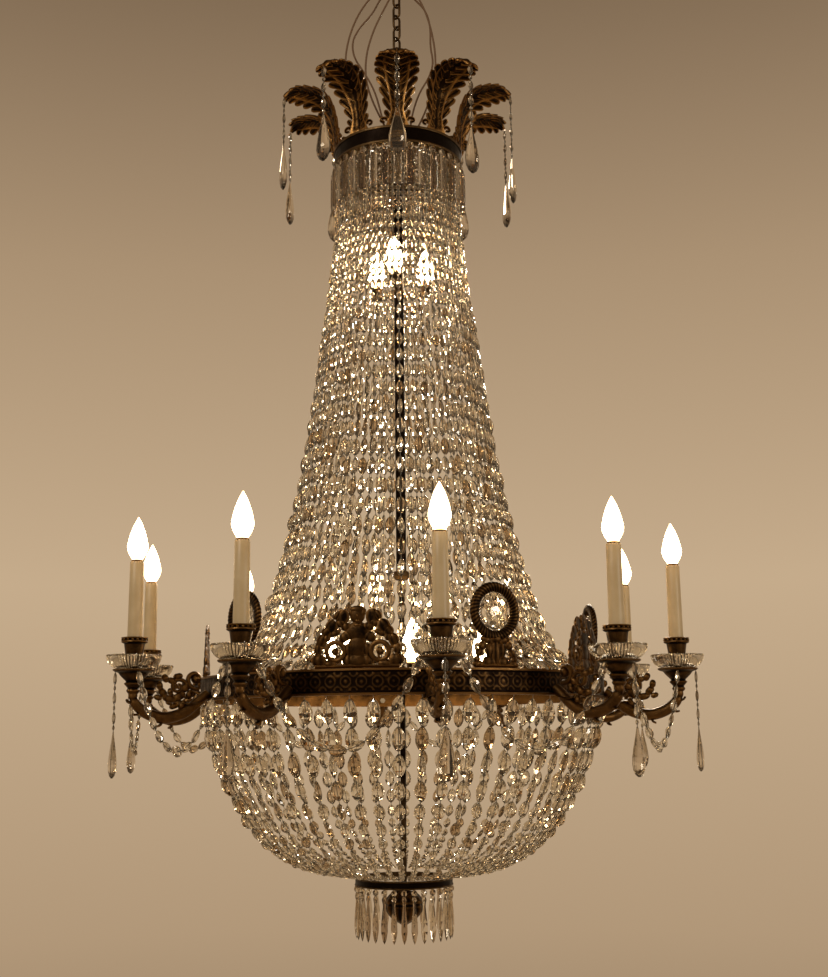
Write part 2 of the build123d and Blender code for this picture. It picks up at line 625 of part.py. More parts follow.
with BuildPart() as wreath_mount:
    with BuildSketch(Plane.XZ.offset(mount_radius - WREATH_THICKNESS / 2)):
        with Locations((0, wreath_z)):
            Polygon(*oval(WREATH_HALF_WIDTH, WREATH_HALF_HEIGHT, WREATH_SIDES), align=None)
        with Locations((0, ring_top)):
            Polygon((-PLINTH_WIDTH / 2, 0), (PLINTH_WIDTH / 2, 0), (PLINTH_WIDTH / 2, 10),
                    (PLINTH_TOP_WIDTH / 2, 22), (PLINTH_TOP_WIDTH / 2, PLINTH_HEIGHT),
                    (-PLINTH_TOP_WIDTH / 2, PLINTH_HEIGHT), (-PLINTH_TOP_WIDTH / 2, 22), (-PLINTH_WIDTH / 2, 10),
                    align=None)
        with Locations((0, wreath_z)):
            Polygon(*oval(WREATH_HALF_WIDTH - WREATH_BAND, WREATH_HALF_HEIGHT - WREATH_BAND, WREATH_SIDES),
                    align=None, mode=Mode.SUBTRACT)
    extrude(amount=WREATH_THICKNESS)
wreath_mounts = around(wreath_mount.part, MOUNTS_OF_A_KIND, ARM_AZIMUTH + step / 2)
write(wreath_mounts, "wreath_mounts")

jewel_width = WREATH_HALF_WIDTH - WREATH_BAND - SEAT_GAP
jewel_height = WREATH_HALF_HEIGHT - WREATH_BAND - SEAT_GAP
with BuildPart() as jewel:
    for offset, share in ((-5.5, 0.55), (0, 1.0), (5.5, 0.55)):
        with BuildSketch(Plane.XZ.offset(mount_radius + offset)):
            with Locations((0, wreath_z)):
                Polygon(*oval(jewel_width * share, jewel_height * share, WREATH_SIDES), align=None)
    loft(ruled=True)
wreath_jewels = around(jewel.part, MOUNTS_OF_A_KIND, ARM_AZIMUTH + step / 2)
write(wreath_jewels, "wreath_jewels")

# ---------------------------------------------------------------- bowl and bottom
bowl_spread = bowl_head_radius - bowl_foot_radius
bowl_line = [(bowl_foot_radius + bowl_spread * out, ring_bottom - BOWL_DEPTH * down) for down, out in BOWL_BENDS]
bowl_line[-1] = (bowl_foot_radius, bottom_ring_top - BOTTOM_RING_HEIGHT / 2)
bowl_sizes = [BOWL_HEAD_BEAD + (BOWL_FOOT_BEAD - BOWL_HEAD_BEAD) * down for down, out in BOWL_BENDS]
bowl_string = lofted_string(bowl_line, bowl_sizes, path_normals(bowl_line, (0, 0, -1), (0, 1, 0)), STRAND_SIDES)
bowl_strands = around(bowl_string, BOWL_STRANDS)
write(bowl_strands, "bowl_strands")

facet_turn = 90 + 180 / BOWL_STRANDS
with BuildPart() as bottom_ring:
    with BuildSketch(Plane.XY.offset(bottom_ring_bottom)):
        RegularPolygon(BOTTOM_RING_RADIUS, BOWL_STRANDS // 2, rotation=facet_turn)
        RegularPolygon(BOTTOM_RING_RADIUS - BOTTOM_RING_WALL, BOWL_STRANDS // 2, rotation=facet_turn,
                       mode=Mode.SUBTRACT)
    extrude(amount=BOTTOM_RING_HEIGHT)
    with BuildSketch(Plane.XY.offset(bottom_ring_bottom)):
        RegularPolygon(BOTTOM_HUB_RADIUS, TURNED_SIDES, rotation=ARM_AZIMUTH)
        with PolarLocations(0, 2, start_angle=ARM_AZIMUTH, angular_range=180):
            Rectangle(2 * BOTTOM_RING_RADIUS - BOTTOM_RING_WALL, SPOKE_WIDTH)
        RegularPolygon(ROD_RADIUS + BORE_GAP, STEM_SIDES, major_radius=False, mode=Mode.SUBTRACT)
    extrude(amount=SPOKE_HEIGHT)
write(bottom_ring, "bottom_ring")

spear_radius = BOTTOM_RING_RADIUS - BOTTOM_RING_WALL / 2
with BuildPart() as spear:
    for down, width in ((0.0, 7.0), (0.2, 5.0), (0.58, SPEAR_WIDTH), (1.0, 1.2)):
        with BuildSketch(Plane.XY.offset(bottom_ring_bottom - SPEAR_LENGTH * down)):
            with Locations((0, -spear_radius)):
                RegularPolygon(width / 2, STRAND_SIDES, rotation=-90)
    loft(ruled=True)
spear_prisms = around(spear.part, SPEARS)
write(spear_prisms, "spear_prisms")

with BuildPart() as stem_nut:
    with BuildSketch(Plane.XY.offset(finial_top)):
        RegularPolygon(NUT_RADIUS, 6)
        RegularPolygon(ROD_RADIUS + BORE_GAP, STEM_SIDES, major_radius=False, mode=Mode.SUBTRACT)
    extrude(amount=NUT_HEIGHT)
write(stem_nut, "stem_nut")

finial_levels = [(0.5, 0.0), (1.0, 0.33), (0.94, 0.52), (0.4, 0.82), (0.06, 1.0)]
finial_body = turned([(FINIAL_RADIUS * out, finial_top - FINIAL_HEIGHT * down) for out, down in finial_levels],
                     STEM_SIDES)
with BuildPart() as bottom_finial:
    add(finial_body)
    with BuildSketch(Plane.XY.offset(finial_top)):
        RegularPolygon(ROD_RADIUS + BORE_GAP, STEM_SIDES, major_radius=False)
    extrude(amount=-ROD_IN_FINIAL - SEAT_GAP, mode=Mode.SUBTRACT)
write(bottom_finial, "bottom_finial")

# ---------------------------------------------------------------- swags between the arms
half_step = radians(step / 2)
swag_half = ARM_CIRCLE * sin(half_step) - pan_eye * cos(half_step)
swag_plane = ARM_CIRCLE * cos(half_step) + pan_eye * sin(half_step)
SWAG_SHARES = (-1.0, -0.74, -0.28, 0.28, 0.74, 1.0)
swag_points = [(swag_half * share, pan_bottom - SWAG_SAG * (1 - share ** 2)) for share in SWAG_SHARES]
swag_runs = [Vector(b[0] - a[0], 0, b[1] - a[1]).normalized() for a, b in zip(swag_points, swag_points[1:])]
swag_normals = [(a + b).normalized() for a, b in zip(swag_runs, swag_runs[1:])]
swag_normals = [Vector(0, 0, -1)] + swag_normals + [Vector(0, 0, 1)]
with BuildPart() as swag:
    for (x, z), normal in zip(swag_points, swag_normals):
        with BuildSketch(Plane(origin=(x, -swag_plane, z), x_dir=(0, 1, 0), z_dir=normal)):
            RegularPolygon(SWAG_BEAD / 2, STRAND_SIDES)
    loft(ruled=True)
crystal_swags = around(swag.part, ARMS, ARM_AZIMUTH + step / 2)
write(crystal_swags, "crystal_swags")


# ---------------------------------------------------------------- hanging pendants
def pendant(radius, top, string_length, pear_length, pear_width, azimuth):
    """A bead string with a flat pear drop, hanging from its pin, as one swinging piece."""
    waist = PENDANT_PIN
    levels = [(0, waist, waist), (string_length * 0.5, PENDANT_BEAD, PENDANT_BEAD), (string_length, waist, waist),
              (string_length + pear_length * 0.66, pear_width, PEAR_THICKNESS),
              (string_length + pear_length, waist * 4, waist * 2)]
    front = [(width / 2, top - down) for down, width, thickness in levels]
    side = [(thickness / 2 - radius, top - down) for down, width, thickness in levels]
    with BuildPart() as drop:
        with BuildSketch(Plane.XZ.offset(radius - pear_width / 2)):
            Polygon(*front, *((-x, z) for x, z in reversed(front)), align=None)
        extrude(amount=pear_width)
        with BuildSketch(Plane.YZ.offset(-pear_width / 2)):
            Polygon(*side, *((-2 * radius - y, z) for y, z in reversed(side)), align=None)
        extrude(amount=pear_width, mode=Mode.INTERSECT)
    with BuildPart() as placed:
        add(drop.part.rotate(Axis.Z, azimuth))
    return placed


for number in range(LEAVES):
    azimuth = number * 360 / LEAVES
    crown_pendant = pendant(drop_radius, leaf_tip_z - PIN_GAP, CROWN_STRINGS[number], PEAR_LENGTH, PEAR_WIDTH,
                            azimuth)
    write(crown_pendant, f"crown_pendant_{number + 1:02d}")

for number in range(ARMS):
    azimuth = ARM_AZIMUTH + number * step
    arm_pendant = pendant(ARM_CIRCLE + pan_eye, pan_bottom - PIN_GAP, ARM_STRING, ARM_PEAR_LENGTH, ARM_PEAR_WIDTH,
                          azimuth)
    write(arm_pendant, f"arm_pendant_{number + 1:02d}")

# ---------------------------------------------------------------- inner lamps
lamp_bar_z = crown_bottom - UPPER_LAMP_DROP
with BuildPart() as lamp_carriers:
    with BuildSketch(Plane.XY.offset(lamp_bar_z)):
        RegularPolygon(COLLAR_RADIUS, TURNED_SIDES)
        with PolarLocations(0, UPPER_LAMPS, start_angle=UPPER_LAMP_TURN):
            with Locations((UPPER_LAMP_RADIUS / 2, 0)):
                Rectangle(UPPER_LAMP_RADIUS, LAMP_BAR_WIDTH)
        RegularPolygon(TUBE_RADIUS + BORE_GAP, STEM_SIDES, major_radius=False, mode=Mode.SUBTRACT)
    extrude(amount=LAMP_BAR_HEIGHT)
    with BuildSketch(Plane.XY.offset(lamp_bar_z)):
        with PolarLocations(UPPER_LAMP_RADIUS, UPPER_LAMPS, start_angle=UPPER_LAMP_TURN):
            RegularPolygon(HOLDER_RADIUS, BULB_SIDES)
    extrude(amount=HOLDER_HEIGHT)
    with BuildSketch(Plane.XY.offset(ring_spoke_top)):
        with PolarLocations(LOWER_LAMP_RADIUS, SPOKES, start_angle=ARM_AZIMUTH - 90):
            RegularPolygon(HOLDER_RADIUS, BULB_SIDES)
    extrude(amount=HOLDER_HEIGHT)
write(lamp_carriers, "lamp_carriers")

upper_foot = lamp_bar_z + HOLDER_HEIGHT
lower_foot = ring_spoke_top + HOLDER_HEIGHT
with BuildPart() as inner_lamps:
    with PolarLocations(UPPER_LAMP_RADIUS, UPPER_LAMPS, start_angle=UPPER_LAMP_TURN):
        add(lamp(upper_foot))
    with PolarLocations(0, SPOKES, start_angle=ARM_AZIMUTH):
        add(lamp(lower_foot).moved(Location((0, -LOWER_LAMP_RADIUS, 0))))
write(inner_lamps, "inner_lamps")

print(f"cup rim {cup_top:.1f}, ring top {ring_top:.1f}, leaf tips {leaf_tip_z:.1f} at radius {drop_radius:.1f}")
print(f"finial foot {finial_top - FINIAL_HEIGHT:.1f}, spear tips {bottom_ring_bottom - SPEAR_LENGTH:.1f}")
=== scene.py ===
# %% [markdown]
# # A crystal chandelier, dressed around its packed construction
#
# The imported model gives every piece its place. Here each piece that the eye
# meets is worked out again as a smooth, carved or cut surface, and gets a
# finish of its own. Lengths are in millimetres in the formulas, levels come
# from the frame, and a piece turns into metres only when it becomes a mesh.

import bmesh
import bpy
import numpy as np
from mathutils import Matrix, Vector


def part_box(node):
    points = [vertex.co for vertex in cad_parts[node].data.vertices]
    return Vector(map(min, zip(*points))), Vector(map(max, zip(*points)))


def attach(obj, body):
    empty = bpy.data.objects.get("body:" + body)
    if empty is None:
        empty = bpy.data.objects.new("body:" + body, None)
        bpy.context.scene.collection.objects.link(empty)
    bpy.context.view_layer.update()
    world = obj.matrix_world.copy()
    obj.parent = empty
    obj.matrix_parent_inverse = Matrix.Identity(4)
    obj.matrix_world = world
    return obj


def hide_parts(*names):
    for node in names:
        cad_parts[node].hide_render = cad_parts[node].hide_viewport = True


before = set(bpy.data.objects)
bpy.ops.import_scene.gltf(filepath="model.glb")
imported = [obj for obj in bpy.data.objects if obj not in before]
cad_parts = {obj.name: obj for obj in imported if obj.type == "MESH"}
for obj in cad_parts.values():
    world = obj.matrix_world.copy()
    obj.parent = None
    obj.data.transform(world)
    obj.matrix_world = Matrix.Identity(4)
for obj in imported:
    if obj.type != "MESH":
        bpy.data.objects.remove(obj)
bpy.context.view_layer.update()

MM = 0.001


def span(name, axis=2):
    """Where a construction node begins and ends along an axis, in millimetres: its levels, if
    no axis is given."""
    low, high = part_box(name)
    return float(low[axis]) / MM, float(high[axis]) / MM


def placed(name, data):
    """A new object of the scene that shows the data."""
    made = bpy.data.objects.new(name, data)
    bpy.context.scene.collection.objects.link(made)
    return made


# %% [markdown]
# The camera stands a little over two metres in front of the stem, level with
# the upper part of the bowl, and looks up by about eleven degrees. So the main
# ring is seen a little from below, and the crown shows its leaves' undersides.

# %% Camera
IMAGE_WIDTH, IMAGE_HEIGHT = 828, 977
AXIS_PIXEL = 400.6
FOCAL_PIXELS = 1250.4
SENSOR = 36.0
CAMERA_BACK, CAMERA_HEIGHT = 2.3436, -1.596
CAMERA_PITCH, CAMERA_ROLL = 11.337, -0.5

camera_data = bpy.data.cameras.new("camera")
camera_data.sensor_width = SENSOR
camera_data.lens = SENSOR * FOCAL_PIXELS / IMAGE_HEIGHT
camera_data.shift_x = (IMAGE_WIDTH / 2 - AXIS_PIXEL) / IMAGE_HEIGHT
camera_data.clip_end = 60.0
camera = placed("camera", camera_data)
camera.location = (0.0, -CAMERA_BACK, CAMERA_HEIGHT)
pitched = Matrix.Rotation(np.radians(90.0 + CAMERA_PITCH), 3, "X")
rolled = Matrix.Rotation(np.radians(CAMERA_ROLL), 3, "Z")
camera.rotation_euler = (pitched @ rolled).to_euler()
bpy.context.scene.camera = camera
print("lens", round(camera_data.lens, 2), "mm")

# %% [markdown]
# The pieces of a chandelier are cast, turned or cut, and could be modelled by
# hand with the edit tools. Here they are worked out as arrays, because ten arms
# and thousands of stones then come from one formula each. A surface is a grid
# of points: rows along a shape, columns round its section. One function makes
# vertices and quads of the grid and closes its ends.

# %% Skins


def skin(points, ring=False):
    """Vertices and faces of a closed skin over points[row, column], columns round the section.

    Each cell of the grid is a quad. With ring the last row joins the first; otherwise both
    ends get a cap."""
    rows, columns = points.shape[:2]
    row, column = np.meshgrid(np.arange(rows if ring else rows - 1), np.arange(columns),
                              indexing="ij")
    below, beside = (row + 1) % rows, (column + 1) % columns
    corners = (row * columns + column, below * columns + column, below * columns + beside,
               row * columns + beside)
    faces = [np.stack(corners, -1).reshape(-1, 4)]
    if not ring:
        cap = np.arange(columns)[None]
        faces += [cap, cap[:, ::-1] + (rows - 1) * columns]
    return points.reshape(-1, 3), faces


def joined(*shapes):
    """Several shapes as one: each shape's faces count on from the vertices before it."""
    vertices, faces, before = [], [], 0
    for points, polygons in shapes:
        vertices.append(points)
        faces += [polygon + before for polygon in polygons]
        before += len(points)
    return np.concatenate(vertices), faces


quads, *caps = skin(np.zeros((4, 6, 3)))[1]
print("a skin of 4 rows and 6 columns:", len(quads), "quads and", len(caps), "caps")

# %% [markdown]
# Arms, leaves and strings repeat round the stem. An array modifier could copy
# them too. A place written as a 3 by 4 matrix, which turns or stretches and
# then shifts, does it for any number of copies in one multiplication, and lets
# every copy differ.

# %% Copies and turns


def moved(shape, y=0.0, z=0.0):
    """A shape shifted by y and z."""
    return shape[0] + np.array([0.0, y, z]), shape[1]


def sized(shape, size):
    """A shape scaled by one number, or by one for each of x, y and z."""
    return shape[0] * size, shape[1]


def spread(shape, places):
    """A shape at many places: each copy is a place's matrix times the points, plus its offset."""
    points, polygons = shape
    copies = np.einsum("kij,nj->kni", places[:, :, :3], points) + places[:, None, :, 3]
    shift = (np.arange(len(places)) * len(points))[:, None, None]
    return copies.reshape(-1, 3), [(polygon[None] + shift).reshape(-1, polygon.shape[1])
                                   for polygon in polygons]


def turns(azimuths):
    """A turn about the stem for each azimuth in degrees: 0 faces the viewer, and they grow to
    the right."""
    angle = np.radians(np.atleast_1d(azimuths).astype(float))
    places = np.zeros((len(angle), 3, 4))
    places[:, 0, 0] = places[:, 1, 1] = np.cos(angle)
    places[:, 1, 0] = np.sin(angle)
    places[:, 0, 1] = -np.sin(angle)
    places[:, 2, 2] = 1.0
    return places


def around(shape, count, first=0.0):
    """Equal copies of a shape round the stem."""
    return spread(shape, turns(first + 360.0 / count * np.arange(count)))


print("ten turns about the stem:", turns(36.0 * np.arange(10)).shape)

# %% [markdown]
# Nearly every metal part here is either turned on a lathe or a bar that was
# bent. The first is a profile swept round the stem, as a Screw modifier would
# do, and the second a circle carried along a path, as a bevelled curve would.
# Working out both as grids keeps their faces even and their ends closed.

# %% Turned shapes


def unit(vectors):
    """Vectors at length one."""
    return vectors / np.linalg.norm(vectors, axis=1, keepdims=True)


def run_along(path):
    """How far along a path each of its points lies."""
    return np.concatenate([[0.0], np.cumsum(np.linalg.norm(np.diff(path, axis=0), axis=1))])


def profile(*parts, radius=0.0):
    """A profile in parts: a level, and rows of (radius, height) counted from it and a radius."""
    return np.concatenate([np.asarray(rows, float) + (radius, level) for level, rows in parts])


def turned(line, sides=32, ribs=0, depth=0.0, ring=False):
    """A turned shape: each (radius, height) of the line becomes a circle. Ribs swell its radius
    by depth times the cosine of so many waves round the axis."""
    line = np.asarray(line, float)
    angle = np.linspace(0.0, 2.0 * np.pi, sides, endpoint=False)
    depth = np.broadcast_to(depth, len(line))
    radius = line[:, :1] + depth[:, None] * np.cos(ribs * angle)
    height = np.broadcast_to(line[:, 1:], radius.shape)
    return skin(np.stack([radius * np.cos(angle), radius * np.sin(angle), height], -1), ring)


def smooth(knots, count):
    """A smooth line through the knots: between two of them a cubic, which has at each knot the
    slope of its neighbours' chord. So many points lie on it."""
    knots = np.asarray(knots, float)
    padded = np.concatenate([2 * knots[:1] - knots[1:2], knots, 2 * knots[-1:] - knots[-2:-1]])
    at = np.linspace(0, len(padded) - 3, count)
    k = np.minimum(at.astype(int), len(padded) - 4)
    t = (at - k)[:, None]
    a, b, c, d = padded[k], padded[k + 1], padded[k + 2], padded[k + 3]
    return 0.5 * (2 * b + (c - a) * t + (2 * a - 5 * b + 4 * c - d) * t ** 2
                  + (3 * b - a - 3 * c + d) * t ** 3)


print("points of a turned cylinder:", len(turned([(1, 0), (1, 1)])[0]))

# %% Bars along a path


def bar(path, radius, sides=8, across=(1, 0, 0), flat=1.0, closed=False):
    """A bar along a path in a plane: at each point a circle, spanned by the plane's normal and
    the direction square to the path. Flat scales it along that normal."""
    path, normal = np.asarray(path, float), np.asarray(across, float)
    along = np.roll(path, -1, 0) - np.roll(path, 1, 0) if closed else np.gradient(path, axis=0)
    side = unit(np.cross(along, normal))
    angle = np.linspace(0.0, 2.0 * np.pi, sides, endpoint=False)[None, :, None]
    radius = np.broadcast_to(radius, len(path))[:, None, None]
    circle = np.cos(angle) * side[:, None] + flat * np.sin(angle) * normal
    return skin(path[:, None] + radius * circle, closed)


def in_radial_plane(line):
    """(radius, height) pairs as points in the upright plane of azimuth 0."""
    line = np.asarray(line, float)
    return np.stack([np.zeros(len(line)), -line[:, 0], line[:, 1]], -1)


def in_front_plane(line, distance=0.0):
    """(across, height) pairs as points in the upright plane so far in front of the stem."""
    line = np.asarray(line, float)
    return np.stack([line[:, 0], np.full(len(line), -distance), line[:, 1]], -1)


print("points of a straight bar:", len(bar(in_radial_plane([(0, 0), (0, 1)]), 1.0)[0]))

# %% [markdown]
# Every finished piece goes through one function. It fills the mesh from the
# arrays in a few calls, which is far quicker than adding faces one by one,
# turns the faces outwards, and shades cut glass flat and metal smooth. Then it
# hangs the piece on its body and hides the construction nodes it stands for.

# %% From arrays to pieces
SHARP_ANGLE = 38.0


def outwards(mesh):
    """Turn the faces of every closed skin outwards."""
    work = bmesh.new()
    work.from_mesh(mesh)
    bmesh.ops.recalc_face_normals(work, faces=work.faces)
    work.to_mesh(mesh)
    work.free()


def piece(name, shape, finish, nodes=(), body="chandelier", cut=False, tint=None):
    """One mesh object from arrays in millimetres: on its body, with its finish, and in place of
    its nodes. Each stone of the shape may have a tint of its own."""
    points, polygons = shape
    mesh = bpy.data.meshes.new(name)
    sizes = np.concatenate([np.full(len(polygon), polygon.shape[1]) for polygon in polygons])
    mesh.vertices.add(len(points))
    mesh.vertices.foreach_set("co", (points * MM).astype(np.float32).ravel())
    mesh.loops.add(int(sizes.sum()))
    mesh.loops.foreach_set("vertex_index",
                           np.concatenate([polygon.ravel() for polygon in polygons]))
    mesh.polygons.add(len(sizes))
    mesh.polygons.foreach_set("loop_start", np.concatenate([[0], np.cumsum(sizes)[:-1]]))
    mesh.update(calc_edges=True)
    if tint is not None:
        layer = mesh.attributes.new("tint", "FLOAT", "POINT")
        tint = np.repeat(tint, len(points) // len(tint)).astype(np.float32)
        layer.data.foreach_set("value", tint)
    outwards(mesh)
    if cut:
        mesh.shade_flat()
    else:
        mesh.shade_smooth()
        mesh.set_sharp_from_angle(angle=np.radians(SHARP_ANGLE))
    mesh.materials.append(finish)
    made = placed(name, mesh)
    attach(made, body)
    if nodes:
        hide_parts(*nodes)
    print(f"{name}: {len(mesh.polygons)} faces")


# %% [markdown]
# The metal is old gilt bronze, and its colours hold painted shade: the gilt's
# tones are set far darker than gilt is under plain light, so that the dim
# backlight is painted into them. It is almost black in the hollows, which is
# patina and painted shade together, and warm gold where hands and dusters
# reach. It could be painted, but a pattern that reads the mesh fits every
# piece at once. Clouds and the pointiness of the mesh decide which of two
# colours shows, clouds vary the polish, and a fine grit is the bump. This is
# one shader group, and each metal gives it values of its own.

# %% Shader helpers
FLOAT, COLOUR = "NodeSocketFloat", "NodeSocketColor"
FIRST_COLOUR, SECOND_COLOUR, MIXED_COLOUR = 6, 7, 2  # the colour sockets of a Mix node


def node(tree, kind, inputs=None, **settings):
    """A new node with some settings and input values."""
    made = tree.nodes.new(kind)
    for key, value in settings.items():
        setattr(made, key, value)
    for key, value in (inputs or {}).items():
        made.inputs[key].default_value = value
    return made


def connect(tree, *wires):
    """Links of a tree: each wire is a node and its output, then a node and its input."""
    for source, output, target, entry in wires:
        tree.links.new(source.outputs[output], target.inputs[entry])


def group(name, inputs, outputs):
    """An empty shader group with named sockets, and its input and output nodes."""
    tree = bpy.data.node_groups.new(name, "ShaderNodeTree")
    for label, kind, value in inputs:
        socket = tree.interface.new_socket(label, in_out="INPUT", socket_type=kind)
        socket.default_value = value
    for label, kind in outputs:
        tree.interface.new_socket(label, in_out="OUTPUT", socket_type=kind)
    return tree, tree.nodes.new("NodeGroupInput"), tree.nodes.new("NodeGroupOutput")


def two_tone(tree, first=(0, 0, 0), second=(1, 1, 1)):
    """A node that mixes two colours."""
    return node(tree, "ShaderNodeMix",
                {FIRST_COLOUR: (*first, 1), SECOND_COLOUR: (*second, 1)}, data_type="RGBA")


def material(name, slot, **constants):
    """A material, with plain values on its surface shader. The slot is not used."""
    made = bpy.data.materials.new(name)
    made.use_nodes = True
    surface = made.node_tree.nodes["Principled BSDF"]
    for key, value in constants.items():
        surface.inputs[key.replace("_", " ")].default_value = value
    return made, made.node_tree, surface


def bumped(tree, surface, source, output, strength, distance):
    """Let a node's output raise and lower a surface."""
    bump = node(tree, "ShaderNodeBump", {"Strength": strength, "Distance": distance})
    connect(tree, (source, output, bump, "Height"), (bump, "Normal", surface, "Normal"))


print("a Mix node takes its colours at", FIRST_COLOUR, "and", SECOND_COLOUR)

# %% Old metals, with painted shade
patina_and_shade, given, result = group(
    "old patina",
    (("Scale", FLOAT, 60.0), ("Wear and light", FLOAT, 0.5), ("Hollows", COLOUR, (0.03, 0.02, 0.01, 1)),
     ("Edges", COLOUR, (0.5, 0.3, 0.1, 1)), ("Polish", FLOAT, 0.35)),
    (("Color", COLOUR), ("Roughness", FLOAT), ("Height", FLOAT)))
place = node(patina_and_shade, "ShaderNodeTexCoord")
clouds = node(patina_and_shade, "ShaderNodeTexNoise", {"Detail": 6.0, "Roughness": 0.6})
grit = node(patina_and_shade, "ShaderNodeTexNoise", {"Scale": 900.0, "Detail": 3.0})
shape_of_mesh = node(patina_and_shade, "ShaderNodeNewGeometry")
raised = node(patina_and_shade, "ShaderNodeMapRange",
              {"From Min": 0.47, "From Max": 0.56, "To Min": -0.35, "To Max": 0.75})
spots = node(patina_and_shade, "ShaderNodeMath", operation="ADD")
worn_and_lit = node(patina_and_shade, "ShaderNodeMath", operation="ADD")
limit = node(patina_and_shade, "ShaderNodeMapRange", {"From Min": 0.55, "From Max": 1.25})
# Low pointiness takes the dark Hollows colour: patina and painted shade in the recesses.
colours = two_tone(patina_and_shade)
dull = node(patina_and_shade, "ShaderNodeMapRange",
            {"From Min": 0.3, "From Max": 0.7, "To Min": 0.28, "To Max": -0.04})
rough = node(patina_and_shade, "ShaderNodeMath", operation="ADD", use_clamp=True)
connect(patina_and_shade,
        (place, "Object", clouds, "Vector"), (place, "Object", grit, "Vector"),
        (given, "Scale", clouds, "Scale"), (shape_of_mesh, "Pointiness", raised, "Value"),
        (clouds, "Fac", spots, 0), (raised, "Result", spots, 1),
        (spots, "Value", worn_and_lit, 0), (given, "Wear and light", worn_and_lit, 1), (worn_and_lit, "Value", limit, "Value"),
        (limit, "Result", colours, 0), (given, "Hollows", colours, FIRST_COLOUR),
        (given, "Edges", colours, SECOND_COLOUR), (clouds, "Fac", dull, "Value"),
        (dull, "Result", rough, 0), (given, "Polish", rough, 1),
        (colours, MIXED_COLOUR, result, "Color"), (rough, "Value", result, "Roughness"),
        (grit, "Fac", result, "Height"))


def metal(name, slot, hollows, edges, wear_and_light, polish, scale=60.0):
    """Old metal: the patina_and_shade group, which holds painted shade in its tones, drives
    colour, roughness and a fine bump.
    """
    made, tree, surface = material(name, slot, Metallic=1.0)
    old = node(tree, "ShaderNodeGroup",
               {"Scale": scale, "Wear and light": wear_and_light, "Hollows": (*hollows, 1), "Edges": (*edges, 1),
                "Polish": polish}, node_tree=patina_and_shade)
    connect(tree, (old, "Color", surface, "Base Color"),
            (old, "Roughness", surface, "Roughness"))
    bumped(tree, surface, old, "Height", 0.25, 0.0006)
    return made


# The gilt tones are far darker than gilt under plain light: painted shade.
gilt = metal("antique gilt", "antique_gilt", (0.009, 0.005, 0.003), (0.15, 0.078, 0.026),
             0.10, 0.32)
# The leaf gilt is a lighter copy of the same gilt, for the palmettes: painted light.
lit_leaf_gilt = metal("leaf gilt with painted light", "antique_gilt", (0.014, 0.0075, 0.0035), (0.30, 0.155, 0.048),
                  0.13, 0.31)
# The dark gilt is a darker copy of the same gilt, for the ornaments on the ring: painted shade.
shaded_gilt = metal("gilt with painted shade", "antique_gilt", (0.008, 0.0045, 0.0025), (0.13, 0.066, 0.022),
                  -0.06, 0.30)
bronze = metal("dark bronze", "dark_bronze", (0.010, 0.006, 0.004), (0.10, 0.06, 0.026),
               0.13, 0.36)
steel = metal("dark steel", "dark_steel", (0.07, 0.065, 0.06), (0.30, 0.29, 0.27), 0.45, 0.36,
              90.0)
print("metals:", gilt.name, lit_leaf_gilt.name, shaded_gilt.name, bronze.name, steel.name)

# %% [markdown]
# Lead crystal is clear and heavy, and bends light strongly. A string is never
# quite even: here and there a bead is smoky or a little yellow. Many materials
# could do that, but one is enough when each stone carries a number, its tint,
# and the glass mixes its colour from it. The lamps are satin glass that glows,
# amber at the neck and tip and pale in the belly, and use the same number.

# %% Crystal, glass and lamps


def tinted(name, slot, tones, socket, **constants):
    """A material that mixes two tones by the tint, into one socket of its surface shader."""
    made, tree, surface = material(name, slot, **constants)
    tint = node(tree, "ShaderNodeAttribute", attribute_name="tint")
    blend = two_tone(tree, *tones)
    connect(tree, (tint, "Fac", blend, 0), (blend, MIXED_COLOUR, surface, socket))
    return made


def crystal(name, slot, clear, smoky, bend=1.56, roughness=0.02):
    """Cut glass between a clear and a smoky tone."""
    return tinted(name, slot, (clear, smoky), "Base Color", IOR=bend, Roughness=roughness,
                  Transmission_Weight=1.0)


def glowing(name, strength):
    """Satin lamp glass that gives light."""
    return tinted(name, "lamp_glass", ((0.75, 0.30, 0.07), (1.0, 0.76, 0.44)), "Emission Color",
                  Base_Color=(1.0, 0.86, 0.62, 1), Roughness=0.25, Emission_Strength=strength)


bead_glass = crystal("bead crystal", "clear_crystal", (1.0, 0.95, 0.84), (0.60, 0.45, 0.28))
drop_glass = crystal("drop crystal", "clear_crystal", (0.93, 0.86, 0.74), (0.42, 0.31, 0.20))
dish_glass = crystal("dish glass", "dish_glass", (0.95, 0.90, 0.80), (0.8, 0.7, 0.55), 1.5, 0.05)
lamp_glass = glowing("lamp glass", 12.0)
inner_lamp_glass = glowing("inner lamp glass", 32.0)
print("glasses:", bead_glass.name, drop_glass.name, dish_glass.name, lamp_glass.name)

# %% [markdown]
# The candle tubes are old ivory card with a soft sheen, the terminal block is
# glazed white, and the flexes have a brown cover. The tubes' two tones are set
# darker and browner than the card is under plain light: a painted shade. One
# even colour would look like plastic, and a picture of card would show its
# edges on a tube, so a colour that drifts in soft clouds serves all three.

# %% Sleeves and covers


def clouded(name, slot, light, dark, scale, roughness):
    """A plain stuff whose colour drifts between two tones in soft clouds, with a fine bump."""
    made, tree, surface = material(name, slot, Roughness=roughness)
    where = node(tree, "ShaderNodeTexCoord")
    noise = node(tree, "ShaderNodeTexNoise", {"Scale": scale, "Detail": 5.0})
    mix = two_tone(tree, light, dark)
    connect(tree, (where, "Object", noise, "Vector"), (noise, "Fac", mix, 0),
            (mix, MIXED_COLOUR, surface, "Base Color"))
    bumped(tree, surface, noise, "Fac", 0.2, 0.0004)
    return made


